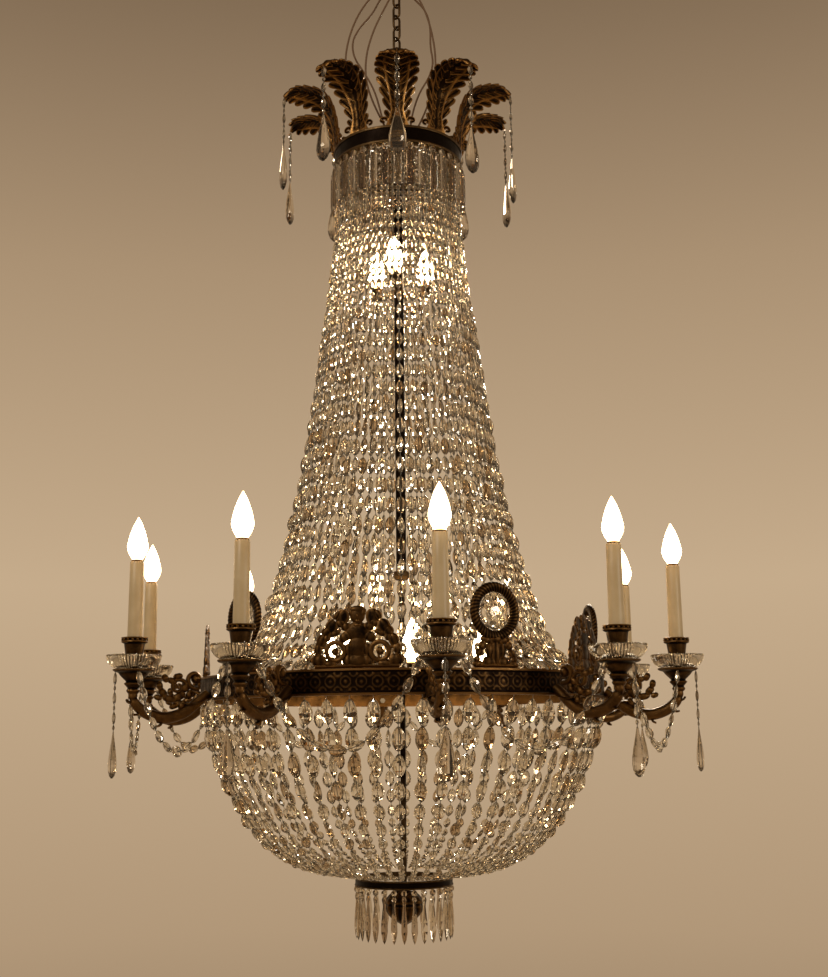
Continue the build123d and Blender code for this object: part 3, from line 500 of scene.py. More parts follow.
# Both ivory tones are darkened below the card's own colour: painted shade.
ivory = clouded("ivory sleeve", "ivory_sleeve", (0.66, 0.50, 0.29), (0.46, 0.32, 0.16), 35, 0.42)
porcelain = clouded("white block", "white_block", (0.86, 0.84, 0.78), (0.74, 0.71, 0.64), 50, 0.3)
flex_cover = clouded("brown flex cover", "brown_flex", (0.24, 0.13, 0.06), (0.10, 0.05, 0.025),
                     1400, 0.7)
print("plain stuffs:", ivory.name, porcelain.name, flex_cover.name)

# %% [markdown]
# ## The five flexes
# The supply flexes come out of the ceiling rose, bow out around the chain and
# go back in at the hub of the crown. They are stiff enough to stand away from
# the chain in loose bows. A simulation would let them fall against it, so each
# is a smooth curve through points of its own, with a round bevel.

# %% Flex routes
FLEX_EXIT = -19
FLEX_END = -460.1
FLEX_ROUTES = (
    (0.482, ((-24, -8, FLEX_EXIT), (-24, -8, -46), (-44, -9, -82), (-74, -10, -122),
             (-95, -11, -172), (-106, -12, -228), (-103, -12, -286), (-86, -11, -342),
             (-58, -9, -392), (-24, -7, -426), (-24, -7, FLEX_END))),
    (0.476, ((-14, 22, FLEX_EXIT), (-14, 22, -46), (-34, 24, -76), (-51, 23, -112),
             (-76, 20, -142), (-93, 18, -176), (-89, 16, -214), (-68, 14, -248),
             (-46, 13, -290), (-33, 12, -342), (-22, 12, -394), (-19, 12, -430),
             (-19, 12, FLEX_END))),
    (0.464, ((6, -25, FLEX_EXIT), (6, -25, -48), (-5, -27, -90), (-26, -27, -132),
             (-48, -27, -180), (-63, -26, -234), (-64, -25, -288), (-49, -24, -338),
             (-27, -22, -384), (-8, -20, -424), (-8, -20, FLEX_END))),
    (0.461, ((24, -10, FLEX_EXIT), (24, -10, -46), (41, -11, -86), (61, -12, -130),
             (74, -12, -182), (80, -12, -236), (76, -12, -292), (60, -11, -344),
             (39, -10, -390), (22, -8, -424), (22, -8, FLEX_END))),
    (0.467, ((15, 21, FLEX_EXIT), (15, 21, -46), (36, 22, -76), (61, 20, -104), (71, 18, -146),
             (69, 16, -190), (76, 15, -228), (66, 14, -262), (44, 13, -298), (29, 13, -348),
             (24, 13, -396), (17, 13, -430), (17, 13, FLEX_END))),
)
print("flexes:", len(FLEX_ROUTES))

# %% Supply flexes
FLEX_DIAMETER = 0.004
for number, (length, route) in enumerate(FLEX_ROUTES, 1):
    curve = bpy.data.curves.new(f"flex_{number}", "CURVE")
    curve.dimensions = "3D"
    curve.bevel_depth = FLEX_DIAMETER / 2
    curve.bevel_resolution = 4
    curve.use_fill_caps = True
    spline = curve.splines.new("NURBS")
    spline.points.add(len(route) - 1)
    for point, place_on_route in zip(spline.points, route):
        point.co = (*(value * MM for value in place_on_route), 1.0)
    spline.order_u = 3
    spline.use_endpoint_u = True
    spline.resolution_u = 10
    curve.materials.append(flex_cover)
    flex = placed(f"flex_{number}", curve)
    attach(flex, "chandelier")
    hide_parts(f"supply_flex_{number}")
    print(f"flex {number}: {length} m")

# %% [markdown]
# ## Ceiling rose, hook and chain
# A spun rose hides the screws. The hook and the links are round bar: a link is
# two straight sides and two half circles, and every second link is turned by a
# quarter, so that each hangs in the one above. A squashed torus would thin the
# bar at its ends, so the circle is carried along the link's true path.

# %% Ceiling fitting and chain
HOOK_TURN = 45.0
HOOK_RADIUS, HOOK_BAR = 12.0, 3.7
ROSE_SHEET = 1.8
LINK_BAR, LINK_HALF_WIDTH, LINK_PITCH, LINK_COUNT = 2.5, 8.5, 25.0, 5
rose_shares = ((1, 0), (1, -4), (0.99, -10), (0.90, -22), (0.80, -32), (0.66, -40),
               (0.63, span("ceiling_rose")[0]))
rose_outside = smooth(np.array(rose_shares) * (span("ceiling_rose", 0)[1], 1.0), 26)
rose = np.concatenate([rose_outside, rose_outside[::-1] - (ROSE_SHEET, 0.0)])
piece("rose_shell", turned(rose, 64, ring=True), gilt, ["ceiling_rose"], "ceiling")

hook_centre = span("ceiling_hook")[0] + HOOK_RADIUS + 4.0
bend = np.radians(np.linspace(90.0, 362.0, 40))
hook_line = np.concatenate([
    [(0.0, span("ceiling_plate")[0]), (0.0, hook_centre + HOOK_RADIUS + 8.0)],
    np.stack([HOOK_RADIUS * np.cos(bend), hook_centre + HOOK_RADIUS * np.sin(bend)], -1)])
hook = bar(in_front_plane(hook_line), HOOK_BAR, 10, across=(0, 1, 0), flat=0.8)
piece("hook_bar", spread(hook, turns(HOOK_TURN)), steel, ["ceiling_hook"], "ceiling")


def link(z, half_height, half_width, turn):
    """A link: two half circles and two straight sides, in an upright plane turned by turn."""
    angle = np.linspace(0.0, 2.0 * np.pi, 36, endpoint=False)
    rise = np.where(np.sin(angle) >= 0, half_height - half_width, half_width - half_height)
    line = np.stack([half_width * np.cos(angle), z + rise + half_width * np.sin(angle)], -1)
    path = in_front_plane(line)
    return spread(bar(path, LINK_BAR, 10, across=(0, 1, 0), closed=True), turns(turn))


link_low, link_high = span("chain_link_top")
link_half, link_middle = (link_high - link_low) / 2 - LINK_BAR, (link_high + link_low) / 2
top_link, *links = (link(link_middle - LINK_PITCH * k, link_half, LINK_HALF_WIDTH,
                         HOOK_TURN + 90 * (k + 1)) for k in range(LINK_COUNT + 1))
piece("top_link", top_link, bronze, ["chain_link_top"], "hook_link")
piece("chain", joined(*links), bronze, ["chain_links"])

# %% [markdown]
# ## The stem
# One tube carries everything. It is a turned piece with a knop under the loop,
# a collar below the hub of the crown, and a knob where the tube ends and the
# thin rod begins. Stacked cylinders would leave seams, and one profile of
# radius and height gives them all in a single closed skin. The plain parts
# that stay as packed only get their finish here.

# %% Stem and loop
TUBE_FOOT = -1285.1
LOOP_RADIUS, LOOP_RAISED = 10.5, 1.5
stem_foot, stem_top = span("central_stem")
crown_bottom, crown_top = span("crown_ring")
ring_bottom, ring_top = span("main_ring")
loop = link(sum(span("top_loop")) / 2 + LOOP_RAISED, LOOP_RADIUS, LOOP_RADIUS, HOOK_TURN + 90)
loop_foot = turned(profile((stem_top, ((4.0, 9), (6.4, 6), (6.8, 3), (5.0, 0)))), 24)
piece("top_loop_ring", joined(loop, loop_foot), bronze, ["top_loop"])
stem_profile = profile(
    (stem_top, ((6.0, 0), (9.4, -1), (9.8, -6), (7.4, -9), (7.4, -12), (9.9, -15), (9.9, -24),
                (8.2, -27), (8.2, -120), (9.9, -124), (9.9, -134), (8.4, -138))),
    (crown_bottom + 3.0, ((8.4, 0), (15.4, 0), (15.4, -3), (13, -7), (9.6, -8))),
    (TUBE_FOOT, ((9.6, 20), (9.6, 0), (14.0, -1), (15.6, -6), (15.6, -11), (11.0, -17),
                 (4.9, -18))),
    (ring_top, ((4.9, -13.3), (15.4, -13.3), (15.4, -17), (9, -21), (4.9, -21.2))),
    (stem_foot, ((4.9, 0),)))
piece("stem", turned(stem_profile, 28), bronze, ["central_stem"])
for name, finish in (("ceiling_plate", steel), ("terminal_block", porcelain),
                     ("crown_spider", bronze), ("ring_spider", bronze), ("arm_screws", steel),
                     ("stem_nut", steel)):
    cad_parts[name].data.materials.clear()
    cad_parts[name].data.materials.append(finish)

# %% [markdown]
# ## The crown
# Ten palmettes stand on a plain band. Each is a cast leaf that rises, curls
# over and carries a drop at its tip: a ridged spine, nine pairs of lobed
# fingers and two small curls at the foot. Sculpting would make every leaf a
# job of its own. Instead all its parts are strips laid on one curved, cupped
# face, by how far along the leaf and how far to the side they run.

# %% Crown band
CROWN_RADIUS = 127.5
crown_section = profile(
    (crown_top, ((1.6, 0), (1.9, -2.0), (1.2, -4.4), (-0.6, -5.4), (-0.8, -16))),
    (crown_bottom, ((-0.6, 5.4), (1.2, 4.4), (1.9, 2.0), (1.2, 0), (-17, 0), (-17, 3),
                    (-4, 3.2))),
    (crown_top, ((-4, 0),)), radius=CROWN_RADIUS)
piece("crown_band", turned(crown_section, 120, ring=True), bronze, ["crown_ring"])

# %% Face and fingers of a palmette
LEAF_BASE = CROWN_RADIUS - 2.0
LEAF_REACH, LEAF_RISE = 109.5, 109.0
LEAF_CUP, LEAF_HALF_WIDTH, CUP_GROWS = 11.0, 44.0, 60.0
FINGER_THICKNESS = 2.4
LEAF_BENDS = ((0.0, 0.0), (0.012, 0.15), (0.03, 0.30), (0.055, 0.45), (0.09, 0.60),
              (0.15, 0.745), (0.235, 0.865), (0.36, 0.955), (0.50, 0.99), (0.68, 0.995),
              (0.84, 0.97), (0.94, 0.91), (1.0, 0.82))
leaf_line = smooth(np.array(LEAF_BENDS) * (LEAF_REACH, LEAF_RISE) + (LEAF_BASE, crown_top), 121)
leaf_run = run_along(leaf_line)
leaf_slope = unit(np.gradient(leaf_line, axis=0))


def on_leaf(run, across, lift):
    """A point of the leaf: so far along its line, so far to the side, and lifted off its upper
    face. The face is cupped: it drops with the square of the way to the side."""
    radius, height, slope_r, slope_z = (np.interp(run, leaf_run, values)
                                        for values in (*leaf_line.T, *leaf_slope.T))
    lift = lift - LEAF_CUP * (across / LEAF_HALF_WIDTH) ** 2 * np.clip(run / CUP_GROWS, 0, 1)
    return np.stack([across, -(radius - slope_z * lift), height + slope_r * lift], -1)


def finger(run, side, half_widths, ridge=1.6, columns=7):
    """A strip on the leaf's face along (run, side), with a ridge down the middle and a ripple
    of three half waves across it."""
    heading = unit(np.stack([np.gradient(run), np.gradient(side)], -1))
    out = np.linspace(-1, 1, columns)
    width = half_widths[:, None] * out
    at_run = run[:, None] - heading[:, 1:] * width
    at_side = side[:, None] + heading[:, :1] * width
    crest = ridge * (1 - np.abs(out)) + 0.5 * np.cos(3 * np.pi * out)
    upper = on_leaf(at_run, at_side, np.broadcast_to(crest, width.shape))
    lower = on_leaf(at_run, at_side,
                    np.broadcast_to(crest * 0.7 - FINGER_THICKNESS, width.shape))
    return skin(np.concatenate([upper, lower[:, ::-1]], 1))


def lobe_widths(share, most):
    """Half widths of a finger: it widens evenly, then ends in a quarter of an ellipse."""
    end = np.sqrt(np.clip(1 - ((share - 0.72) / 0.29) ** 2, 0.02, 1) * (share > 0.72)
                  + (share <= 0.72))
    return most * (0.45 + (1 - 0.45) * share) * end


print("a palmette runs for", round(leaf_run[-1]), "mm")

# %% Palmettes
LEAVES = 10
FINGERS = ((0.03, 0.15, 24, 6.0), (0.12, 0.27, 27, 6.5), (0.21, 0.38, 33, 7.5),
           (0.31, 0.49, 38, 8.0), (0.42, 0.60, 41, 8.5), (0.52, 0.71, 41, 8.5),
           (0.62, 0.81, 38, 8.5), (0.71, 0.90, 32, 8.0), (0.80, 0.965, 22, 7.5))
spine_share = np.linspace(0, 1, 40)
spine_width = np.interp(spine_share, (0, 0.06, 0.16, 0.30, 0.45, 0.70, 0.88, 1.0),
                        (22, 17, 12, 15, 22, 27, 20, 4))
leaf_parts = [finger(spine_share * (leaf_run[-1] - 1), 0 * spine_share, spine_width, 3.0, 13)]
share = np.linspace(0, 1, 14)
for start, stop, reach, lobe in FINGERS:
    run = leaf_run[-1] * (start + (stop - start) * share ** 1.15)
    leaf_parts += [finger(run, side * (4 + (reach - 4) * share ** 0.85), lobe_widths(share, lobe))
                   for side in (-1, 1)]
curl = np.linspace(0, 1.6 * np.pi, 20)
curl_run = 7 + 6.0 * np.sin(curl) * np.exp(-0.15 * curl) + 2
leaf_parts += [finger(curl_run, side * (20 + 6.0 * (1 - np.cos(curl))),
                      np.linspace(3.2, 2.0, 20), columns=5) for side in (-1, 1)]
tip_hook = bar(in_radial_plane(smooth([leaf_line[-6], leaf_line[-1] + (-0.6, 0.4)], 6)), 2.4)
piece("crown_palmettes", around(joined(*leaf_parts, tip_hook), LEAVES), lit_leaf_gilt,
      ["crown_leaves"])

# %% [markdown]
# ## Cut stones
# A cut stone is a few flat rings of corners that shrink towards both ends. The
# same recipe gives round beads, long almonds, octagons and pears: only the
# rings change. Bevelled spheres would look alike and cost far more faces, and
# there are thousands of stones, so each has a few dozen.

# %% Stones
rng = np.random.default_rng(7)
ROUND_RINGS = ((0.25, 0.5), (0.85, 0.26), (1.0, 0.0), (0.85, -0.26), (0.25, -0.5))
OVAL_RINGS = ((0.10, 0.5), (0.56, 0.38), (0.90, 0.18), (1.0, -0.02), (0.90, -0.2),
              (0.56, -0.39), (0.10, -0.5))


def stone(rings, sides, flat=1.0):
    """A unit stone along z, with a face to each side: rings of (width, height), and flat
    scales its depth."""
    rings = np.asarray(rings, float)
    angle = 2.0 * np.pi * (np.arange(sides) + 0.5) / sides
    width = rings[:, :1] / 2
    return skin(np.stack([width * np.cos(angle), flat * width * np.sin(angle),
                          np.broadcast_to(rings[:, 1:], (len(rings), sides))], -1))


def facing(shape, size):
    """A stone laid back so that its end looks outwards, at a size of (across, deep, tall)."""
    return shape[0][:, [0, 2, 1]] * size, shape[1]


def tints(count, smoky_share=0.22):
    """A tint for each stone: most are nearly clear, and a share of them is smoky."""
    value = rng.random(count) * 0.25
    return np.where(rng.random(count) < smoky_share, 0.55 + 0.45 * rng.random(count), value)


round_bead = stone(ROUND_RINGS, 8)
oval_bead = stone(OVAL_RINGS, 8, flat=0.52)
print("corners of an oval bead:", len(oval_bead[0]))

# %% [markdown]
# A string is a wire with beads that follow its line. A curve modifier could
# bend a straight string, but would bend the stones with it. So the line only
# gives each bead its place, and each is then turned on the wire by a little,
# because no real string hangs with all its stones facing one way.

# %% Strings


def strung(line, start, stop, widths, lengths, stretch, gap=0.0):
    """Places of beads on a (radius, height) line, from one share of the way to another, at
    azimuth 0. Widths and lengths are tables of shares and values, and the next bead starts
    stretch times the length, plus a gap, further on."""
    path = in_radial_plane(line)
    run = run_along(path)
    middles, at = [], start * run[-1]
    while at < stop * run[-1] - 2.0:
        pitch = np.interp(at / run[-1], *lengths) * stretch + gap
        middles.append(at + pitch / 2)
        at += pitch
    station = np.array(middles)
    centre, ahead, behind = (
        np.stack([np.interp(station + step, run, path[:, axis]) for axis in range(3)], -1)
        for step in (0.0, 1.0, -1.0))
    up = unit(behind - ahead)
    side = np.broadcast_to([1.0, 0.0, 0.0], up.shape)
    width, length = (np.interp(station / run[-1], *table)[:, None] for table in (widths, lengths))
    return np.stack([side * width, np.cross(up, side) * width, up * length, centre], -1)


def all_round(places, azimuths, restless=0.0):
    """Places repeated at many azimuths, each bead turned on its wire by a random angle."""
    all_places = np.einsum("aij,pjk->apik", turns(azimuths)[:, :, :3], places).reshape(-1, 3, 4)
    angle = np.radians(restless * rng.standard_normal(len(all_places)))[:, None]
    side, deep = all_places[:, :, 0].copy(), all_places[:, :, 1].copy()
    all_places[:, :, 0] = np.cos(angle) * side + np.sin(angle) * deep
    all_places[:, :, 1] = np.cos(angle) * deep - np.sin(angle) * side
    return all_places


WIRE = 0.6


def wires(line, count, first=0.0):
    """The wires of so many strings: a thin bar through every fifth point of their line."""
    return around(bar(in_radial_plane(line[::5]), WIRE, 4), count, first)


print("wires are", 2 * WIRE, "mm thick")

# %% [markdown]
# ## The tent
# Seventy strings run from inside the crown down to the ring. The beads are
# small rounds at the top, set so close that they read as rows, and grow into
# almonds on the way down. The line is steep at first and flares out at the
# end, and a smooth line through a few knots holds both. The almonds are two
# pieces, an upper and a lower half, so that neither mesh grows too large.

# %% Tent of bead strings
TENT_STRINGS = 70
TENT_HEAD, TENT_FOOT = 114.3, 343.8
TENT_ROUNDS_END = 0.115
TENT_BENDS = ((0.0, 0.0), (0.08, 0.016), (0.17, 0.053), (0.25, 0.088), (0.33, 0.138),
              (0.41, 0.186), (0.50, 0.235), (0.58, 0.288), (0.66, 0.353), (0.745, 0.434),
              (0.81, 0.506), (0.87, 0.585), (0.93, 0.69), (0.97, 0.81), (1.0, 1.0))
TENT_WIDTHS = ((0.1, 0.3, 0.55, 1.0), (11.5, 12.5, 17.5, 18.5))
TENT_LENGTHS = ((0.1, 0.2, 0.35, 0.55, 0.85, 1.0), (15.0, 21.0, 26.0, 33.0, 34.0, 30.0))
tent_line = smooth([(TENT_HEAD + (TENT_FOOT - TENT_HEAD) * out,
                     crown_bottom - (crown_bottom - ring_top) * down)
                    for down, out in TENT_BENDS], 200)
tent_azimuths = 360.0 / TENT_STRINGS * np.arange(TENT_STRINGS)
upper_places = all_round(strung(tent_line, 0.003, TENT_ROUNDS_END, ((0, 1), (10.6, 10.6)),
                                ((0, 1), (11.0, 11.0)), 1.0, 0.6), tent_azimuths)
lower_places = all_round(strung(tent_line, TENT_ROUNDS_END, 0.992, TENT_WIDTHS, TENT_LENGTHS,
                                1.16), tent_azimuths, restless=32.0)
piece("tent_beads_upper", spread(round_bead, upper_places), bead_glass, ["tent_strands"],
      cut=True, tint=tints(len(upper_places)))
in_upper_half = lower_places[:, 2, 3] > (crown_bottom + ring_top) / 2
for name, chosen in (("tent_beads_middle", in_upper_half), ("tent_beads_lower", ~in_upper_half)):
    piece(name, spread(oval_bead, lower_places[chosen]), bead_glass, cut=True,
          tint=tints(chosen.sum()))
piece("tent_wires", wires(tent_line, TENT_STRINGS), steel)

# %% [markdown]
# ## Octagons and prisms
# Under the crown band hangs a row of small octagons, each with a brass pin, and
# under each of them a long prism with nicked edges. Cutting nicks with a
# boolean would be slow on so many, so the prism's outline is narrowed at every
# second row. Every second prism is clearer, so that they are told apart.

# %% Octagons and prisms
CROWN_STONES = 34
OCTAGON, OCTAGON_DEPTH = 15.0, 7.0
OCTAGON_RINGS = ((0.5, -0.5), (1.0, -0.15), (1.0, 0.15), (0.5, 0.5))
PRISM_WIDTH, PRISM_DEPTH, PRISM_ROWS, NICK = 17.0, 8.0, 41, 0.10
PRISM_SECTION = np.array([(-0.5, 0.0), (-0.30, 0.36), (0.0, 0.5), (0.30, 0.36), (0.5, 0.0),
                          (0.26, -0.5), (-0.26, -0.5)])
octagon = moved(facing(stone(OCTAGON_RINGS, 8), (OCTAGON, OCTAGON_DEPTH, OCTAGON)),
                y=-CROWN_RADIUS, z=crown_bottom - OCTAGON / 2)
pin = moved(turned([(1.2, 0.6), (1.5, 0.0), (1.5, -1.4), (0.8, -2.0)], 8), y=-CROWN_RADIUS,
            z=crown_bottom - OCTAGON)
piece("crown_octagons", around(octagon, CROWN_STONES), bead_glass, ["octagon_row"], cut=True,
      tint=tints(CROWN_STONES, 0.3))
piece("octagon_pins", around(pin, CROWN_STONES), gilt)
prism_foot, prism_top = span("baguette_prisms")
prism_down = np.linspace(0.02, 0.98, PRISM_ROWS)
prism_width = np.interp(prism_down, (0, 0.05, 0.94, 1.0), (0.55, 1.0, 1.0, 0.6))
prism_width[1:-1] *= 1.0 - NICK * (np.arange(PRISM_ROWS - 2) % 2)
prism = np.zeros((PRISM_ROWS, len(PRISM_SECTION), 3))
prism[..., 0] = prism_width[:, None] * PRISM_SECTION[:, 0] * PRISM_WIDTH
prism[..., 1] = PRISM_SECTION[:, 1] * PRISM_DEPTH * prism_width[:, None] - CROWN_RADIUS - 3.5
prism[..., 2] = prism_top - (prism_top - prism_foot) * prism_down[:, None]
piece("crown_baguettes", around(skin(prism), CROWN_STONES), drop_glass, ["baguette_prisms"],
      cut=True, tint=np.where(np.arange(CROWN_STONES) % 2 == 0, 0.15, 1.0))

# %% [markdown]
# ## The main ring
# The ring is a bronze band with thin lips and a shallow cast frieze: a circle
# and a dot in each cell, and small rings where four cells meet. A bump would
# vanish at the edge of the band, so the frieze is part of the surface: where
# the outer face lies, the radius grows by the height of the pattern.

# %% Main ring
RING_RADIUS = 370.0
FRIEZE_ROWS, FRIEZE_CELLS = 17, 90
CAST, CAST_MOST = 0.7, 1.2
face_heights = np.linspace(ring_top - 7.0, ring_bottom + 7.0, FRIEZE_ROWS)
upper_lip = ((-3, 0), (0.8, -0.3), (1.0, -3.4), (-0.5, -4.4), (-1.4, -6.0))
ring_section = profile(
    (ring_top, upper_lip), (0.0, [(-1.4, height) for height in face_heights]),
    (ring_bottom, ((-1.4, 6.0), (-0.5, 4.4), (1.0, 3.4), (0.8, 0.3), (-4, 0))),
    (ring_top, ((-4.2, -3.2), (-33.6, -3.0), (-34, -0.2))), radius=RING_RADIUS)
ring_angle = np.linspace(0.0, 2.0 * np.pi, 1440, endpoint=False)
cell_width = 2 * np.pi * RING_RADIUS / FRIEZE_CELLS
cell_height = face_heights[0] - face_heights[-1]
along_cell = ((ring_angle * FRIEZE_CELLS / (2 * np.pi)) % 1.0 - 0.5)[:, None]
up_cell = ((face_heights - face_heights.mean()) / cell_height)[None]
from_middle = np.hypot(along_cell * cell_width, up_cell * cell_height)
from_corner = np.hypot((np.abs(along_cell) - 0.5) * cell_width,
                       (np.abs(up_cell) - 0.5) * cell_height)
relief = (CAST * np.exp(-((from_middle - 8.5) / 1.5) ** 2)
          + CAST * np.exp(-((from_corner - 6.0) / 1.6) ** 2)
          + CAST * np.exp(-(from_middle / 2.6) ** 2))
ring_radius = np.broadcast_to(ring_section[:, 0], (len(ring_angle), len(ring_section))).copy()
ring_radius[:, len(upper_lip):len(upper_lip) + FRIEZE_ROWS] += np.minimum(relief, CAST_MOST)
ring_points = np.stack([ring_radius * np.sin(ring_angle)[:, None],
                        -ring_radius * np.cos(ring_angle)[:, None],
                        np.broadcast_to(ring_section[:, 1], ring_radius.shape)], -1)
piece("ring_band", skin(ring_points, ring=True), gilt, ["main_ring"])

# %% [markdown]
# ## Arms
# Ten arms leave the ring, sink and rise again under their candle. Scrolls and
# cast leafwork fill the corner at the ring, and small leaves grow from the
# underside of the bend. Casting rounds everything, so the leafwork is a heap of
# ribbed bosses that run into each other, laid out in a table, and each leaf is
# a cupped strip along a line that bends evenly.

# %% Cast bosses and scrolls
OUTWARDS = ((0, 1, 0), (-1, 0, 0), (0, 0, 1))  # along is away from the stem
SIDEWAYS = ((1, 0, 0), (0, 1, 0), (0, 0, 1))  # along is across the stem


def blobs(table, matrix, ribs=5):
    """Bosses from rows of (along, up, length, height, lean in degrees, depth) in a plane. The
    matrix carries (along, across, up) to the object."""
    table = np.asarray(table, float)
    angle = np.linspace(0, np.pi, 9)[1:-1]
    ball = turned(np.stack([0.47 * np.sin(angle), 0.5 * np.cos(angle)], -1), 20, ribs=ribs,
                  depth=0.045 if ribs else 0.0)
    lean = np.radians(table[:, 4])
    cos, sin, zero = np.cos(lean), np.sin(lean), 0 * lean
    places = np.stack([np.stack([table[:, 2] * cos, zero, table[:, 2] * sin], -1),
                       np.stack([zero, table[:, 5], zero], -1),
                       np.stack([-table[:, 3] * sin, zero, table[:, 3] * cos], -1),
                       np.stack([table[:, 0], zero, table[:, 1]], -1)], -1)
    points, faces = spread(ball, places)
    return points @ np.asarray(matrix, float).T, faces


def scroll(centre, radius, first, sweep, tight=0.16, count=48):
    """A scroll in (along, up): the radius shrinks by a fixed share per radian, as the angle
    runs from first by sweep degrees."""
    angle = np.radians(np.linspace(first, first + sweep, count))
    shrink = radius * np.exp(-tight * np.abs(angle - angle[0]))
    return np.stack([centre[0] + shrink * np.cos(angle), centre[1] + shrink * np.sin(angle)], -1)


print("points of a boss:", len(blobs([(0, 0, 1, 1, 0, 1)], SIDEWAYS)[0]))

# %% Small leaves
BLADE_COLUMNS = 11


def blade(line, half_widths, thickness, cup, ribs, rib_depth):
    """A leaf along a (radius, height) line: its edges are lifted by cup times the square of the
    way out, ribs add a cosine across it, and a second sheet closes it underneath."""
    spine = in_radial_plane(line)
    face = unit(np.cross(np.gradient(spine, axis=0), (1.0, 0.0, 0.0)))
    out = np.linspace(-1.0, 1.0, BLADE_COLUMNS)
    fade = np.sin(np.pi * np.linspace(0.02, 0.98, len(spine))) ** 0.5
    lift = cup * out ** 2 + fade[:, None] * rib_depth * np.cos(ribs * np.pi * out)
    across = half_widths[:, None] * out
    upper = spine[:, None] + across[..., None] * (1.0, 0.0, 0.0) + lift[..., None] * face[:, None]
    edge = np.maximum(1.0 - out ** 8, 0.25)
    lower = upper - (thickness * edge)[None, :, None] * face[:, None]
    return skin(np.concatenate([upper, lower[:, ::-1]], 1))


def small_leaf(start, heading, length, width, lift):
    """A little curled leaf: it leaves start at a heading in degrees and bends by lift."""
    share = np.linspace(0, 1, 14)
    angle = np.radians(heading) + lift * share * np.pi
    steps = length / 13 * np.stack([np.cos(angle), np.sin(angle)], -1)
    line = np.asarray(start) + np.cumsum(steps, 0) - steps[0]
    widths = width * np.sin(np.pi * np.clip(share * 0.93 + 0.07, 0, 1)) ** 0.7
    widths = np.maximum(widths * (1 + 0.12 * np.cos(9 * np.pi * share)), 0.6)
    return blade(line, widths, 1.8, cup=-2.5, ribs=3, rib_depth=0.5)


print("points of a small leaf:", len(small_leaf((0, 0), 0, 10, 5, 0.4)[0]))

# %% Arms
ARMS = 10
ARM_AZIMUTH, HALF_BAY = 6.69, 180.0 / ARMS
ARM_CIRCLE = 500.0
ARM_BENDS = ((0, 1), (-1, -9), (-10, -22), (-28, -34), (-54, -40), (-82, -34), (-104, -20),
             (-120, -6))
VOLUTE = 18.0
ACANTHUS = ((0, 0, 12, 12, 0, 20), (16, -14, 20, 11, -40, 14), (28, -30, 22, 11, -30, 13),
            (44, -34, 20, 10, 10, 12), (56, -24, 16, 10, 50, 12), (40, -4, 15, 9, 20, 11),
            (52, 0, 13, 9, 60, 10), (30, 4, 14, 9, -10, 10), (62, -12, 12, 9, 80, 10),
            (22, -44, 16, 9, -60, 11), (36, -46, 14, 8, -20, 10), (10, -26, 14, 9, -70, 13),
            (64, -32, 12, 8, 20, 10))
bell_bottom, pan_top = span("drip_pans")
arm_knots = [*profile((bell_bottom, ARM_BENDS), radius=ARM_CIRCLE),
             (RING_RADIUS + 0.3, bell_bottom + 2)]
arm_line = smooth(arm_knots, 60)
arm_share = np.linspace(0, 1, 60)
arm_radius = (7.4 + 2.6 * np.sin(np.pi * arm_share)
              - 1.6 * np.exp(-((arm_share - 0.12) / 0.03) ** 2))
arm_bar = bar(in_radial_plane(arm_line), arm_radius, 14)
volute_at, volute_z = RING_RADIUS + VOLUTE + 5, bell_bottom + 26
volute = bar(in_radial_plane(scroll((volute_at, volute_z), VOLUTE, -110, 640, 0.19, 64)),
             np.linspace(4.6, 2.4, 64), 10, flat=1.6)
outer_scroll = bar(in_radial_plane(scroll((volute_at + 30, volute_z - 14), 15, 160, -430)),
                   np.linspace(3.8, 2.2, 48), 10, flat=1.5)
leafage = blobs([(volute_at + x, volute_z + z, 1.25 * long, 1.3 * high, lean, deep)
                 for x, z, long, high, lean, deep in ACANTHUS], OUTWARDS)
arm_leaves = [small_leaf(arm_line[at] + shift, heading, length, 6, lift)
              for at, shift, heading, length, lift in (
                  (10, (3, 0), -20, 12, 0.5), (17, (3, -4), -60, 12, 0.5),
                  (28, (0, -7), -80, 10, 0.4))]
ring_leaf = small_leaf((RING_RADIUS + 3, bell_bottom - 2), -50, 50, 14, 0.42)
arm = joined(arm_bar, volute, outer_scroll, leafage, ring_leaf, *arm_leaves)
piece("candle_arms", around(arm, ARMS, ARM_AZIMUTH), gilt, ["arms"])

# %% [markdown]
# ## Candles
# From below: a metal pan with a beaded edge and a tapering bell, a ribbed
# glass dish, and a cup with a gallery rim. All are turned, so a profile each is
# enough. The dish's flutes come from a cosine round its outer wall, which stays
# sharper than a bump, and the beaded edges are rings of small cut rounds.

# %% Pans
POST = 9.0
cup_bottom, cup_top = span("candle_cups")
pan_rim = pan_top - 4.0


def on_arms(shape):
    """A shape made on the stem's axis, set under every candle."""
    return around(moved(shape, y=-ARM_CIRCLE), ARMS, ARM_AZIMUTH)


def pearls(radius, height, size, count):
    """A ring of small round pearls."""
    return around(moved(sized(stone(ROUND_RINGS, 6), size), y=-radius, z=height), count)


pan_line = smooth(profile(
    (cup_bottom, ((POST, 1),)), (pan_top, ((POST, 0), (30.0, 0), (34.0, -0.6), (34.6, -2.2))),
    (pan_rim, ((32.0, 0), (26.0, -2), (22.0, -7), (16.0, -13), (12.5, -17), (15.5, -20),
               (12.5, -24), (9.5, -28), (11.5, -32))), (bell_bottom, ((8.2, 0),))), 60)
pan = joined(turned(pan_line, 36), pearls(33.6, pan_top - 1.2, 3.0, 36))
piece("pans", on_arms(pan), gilt, ["drip_pans"])

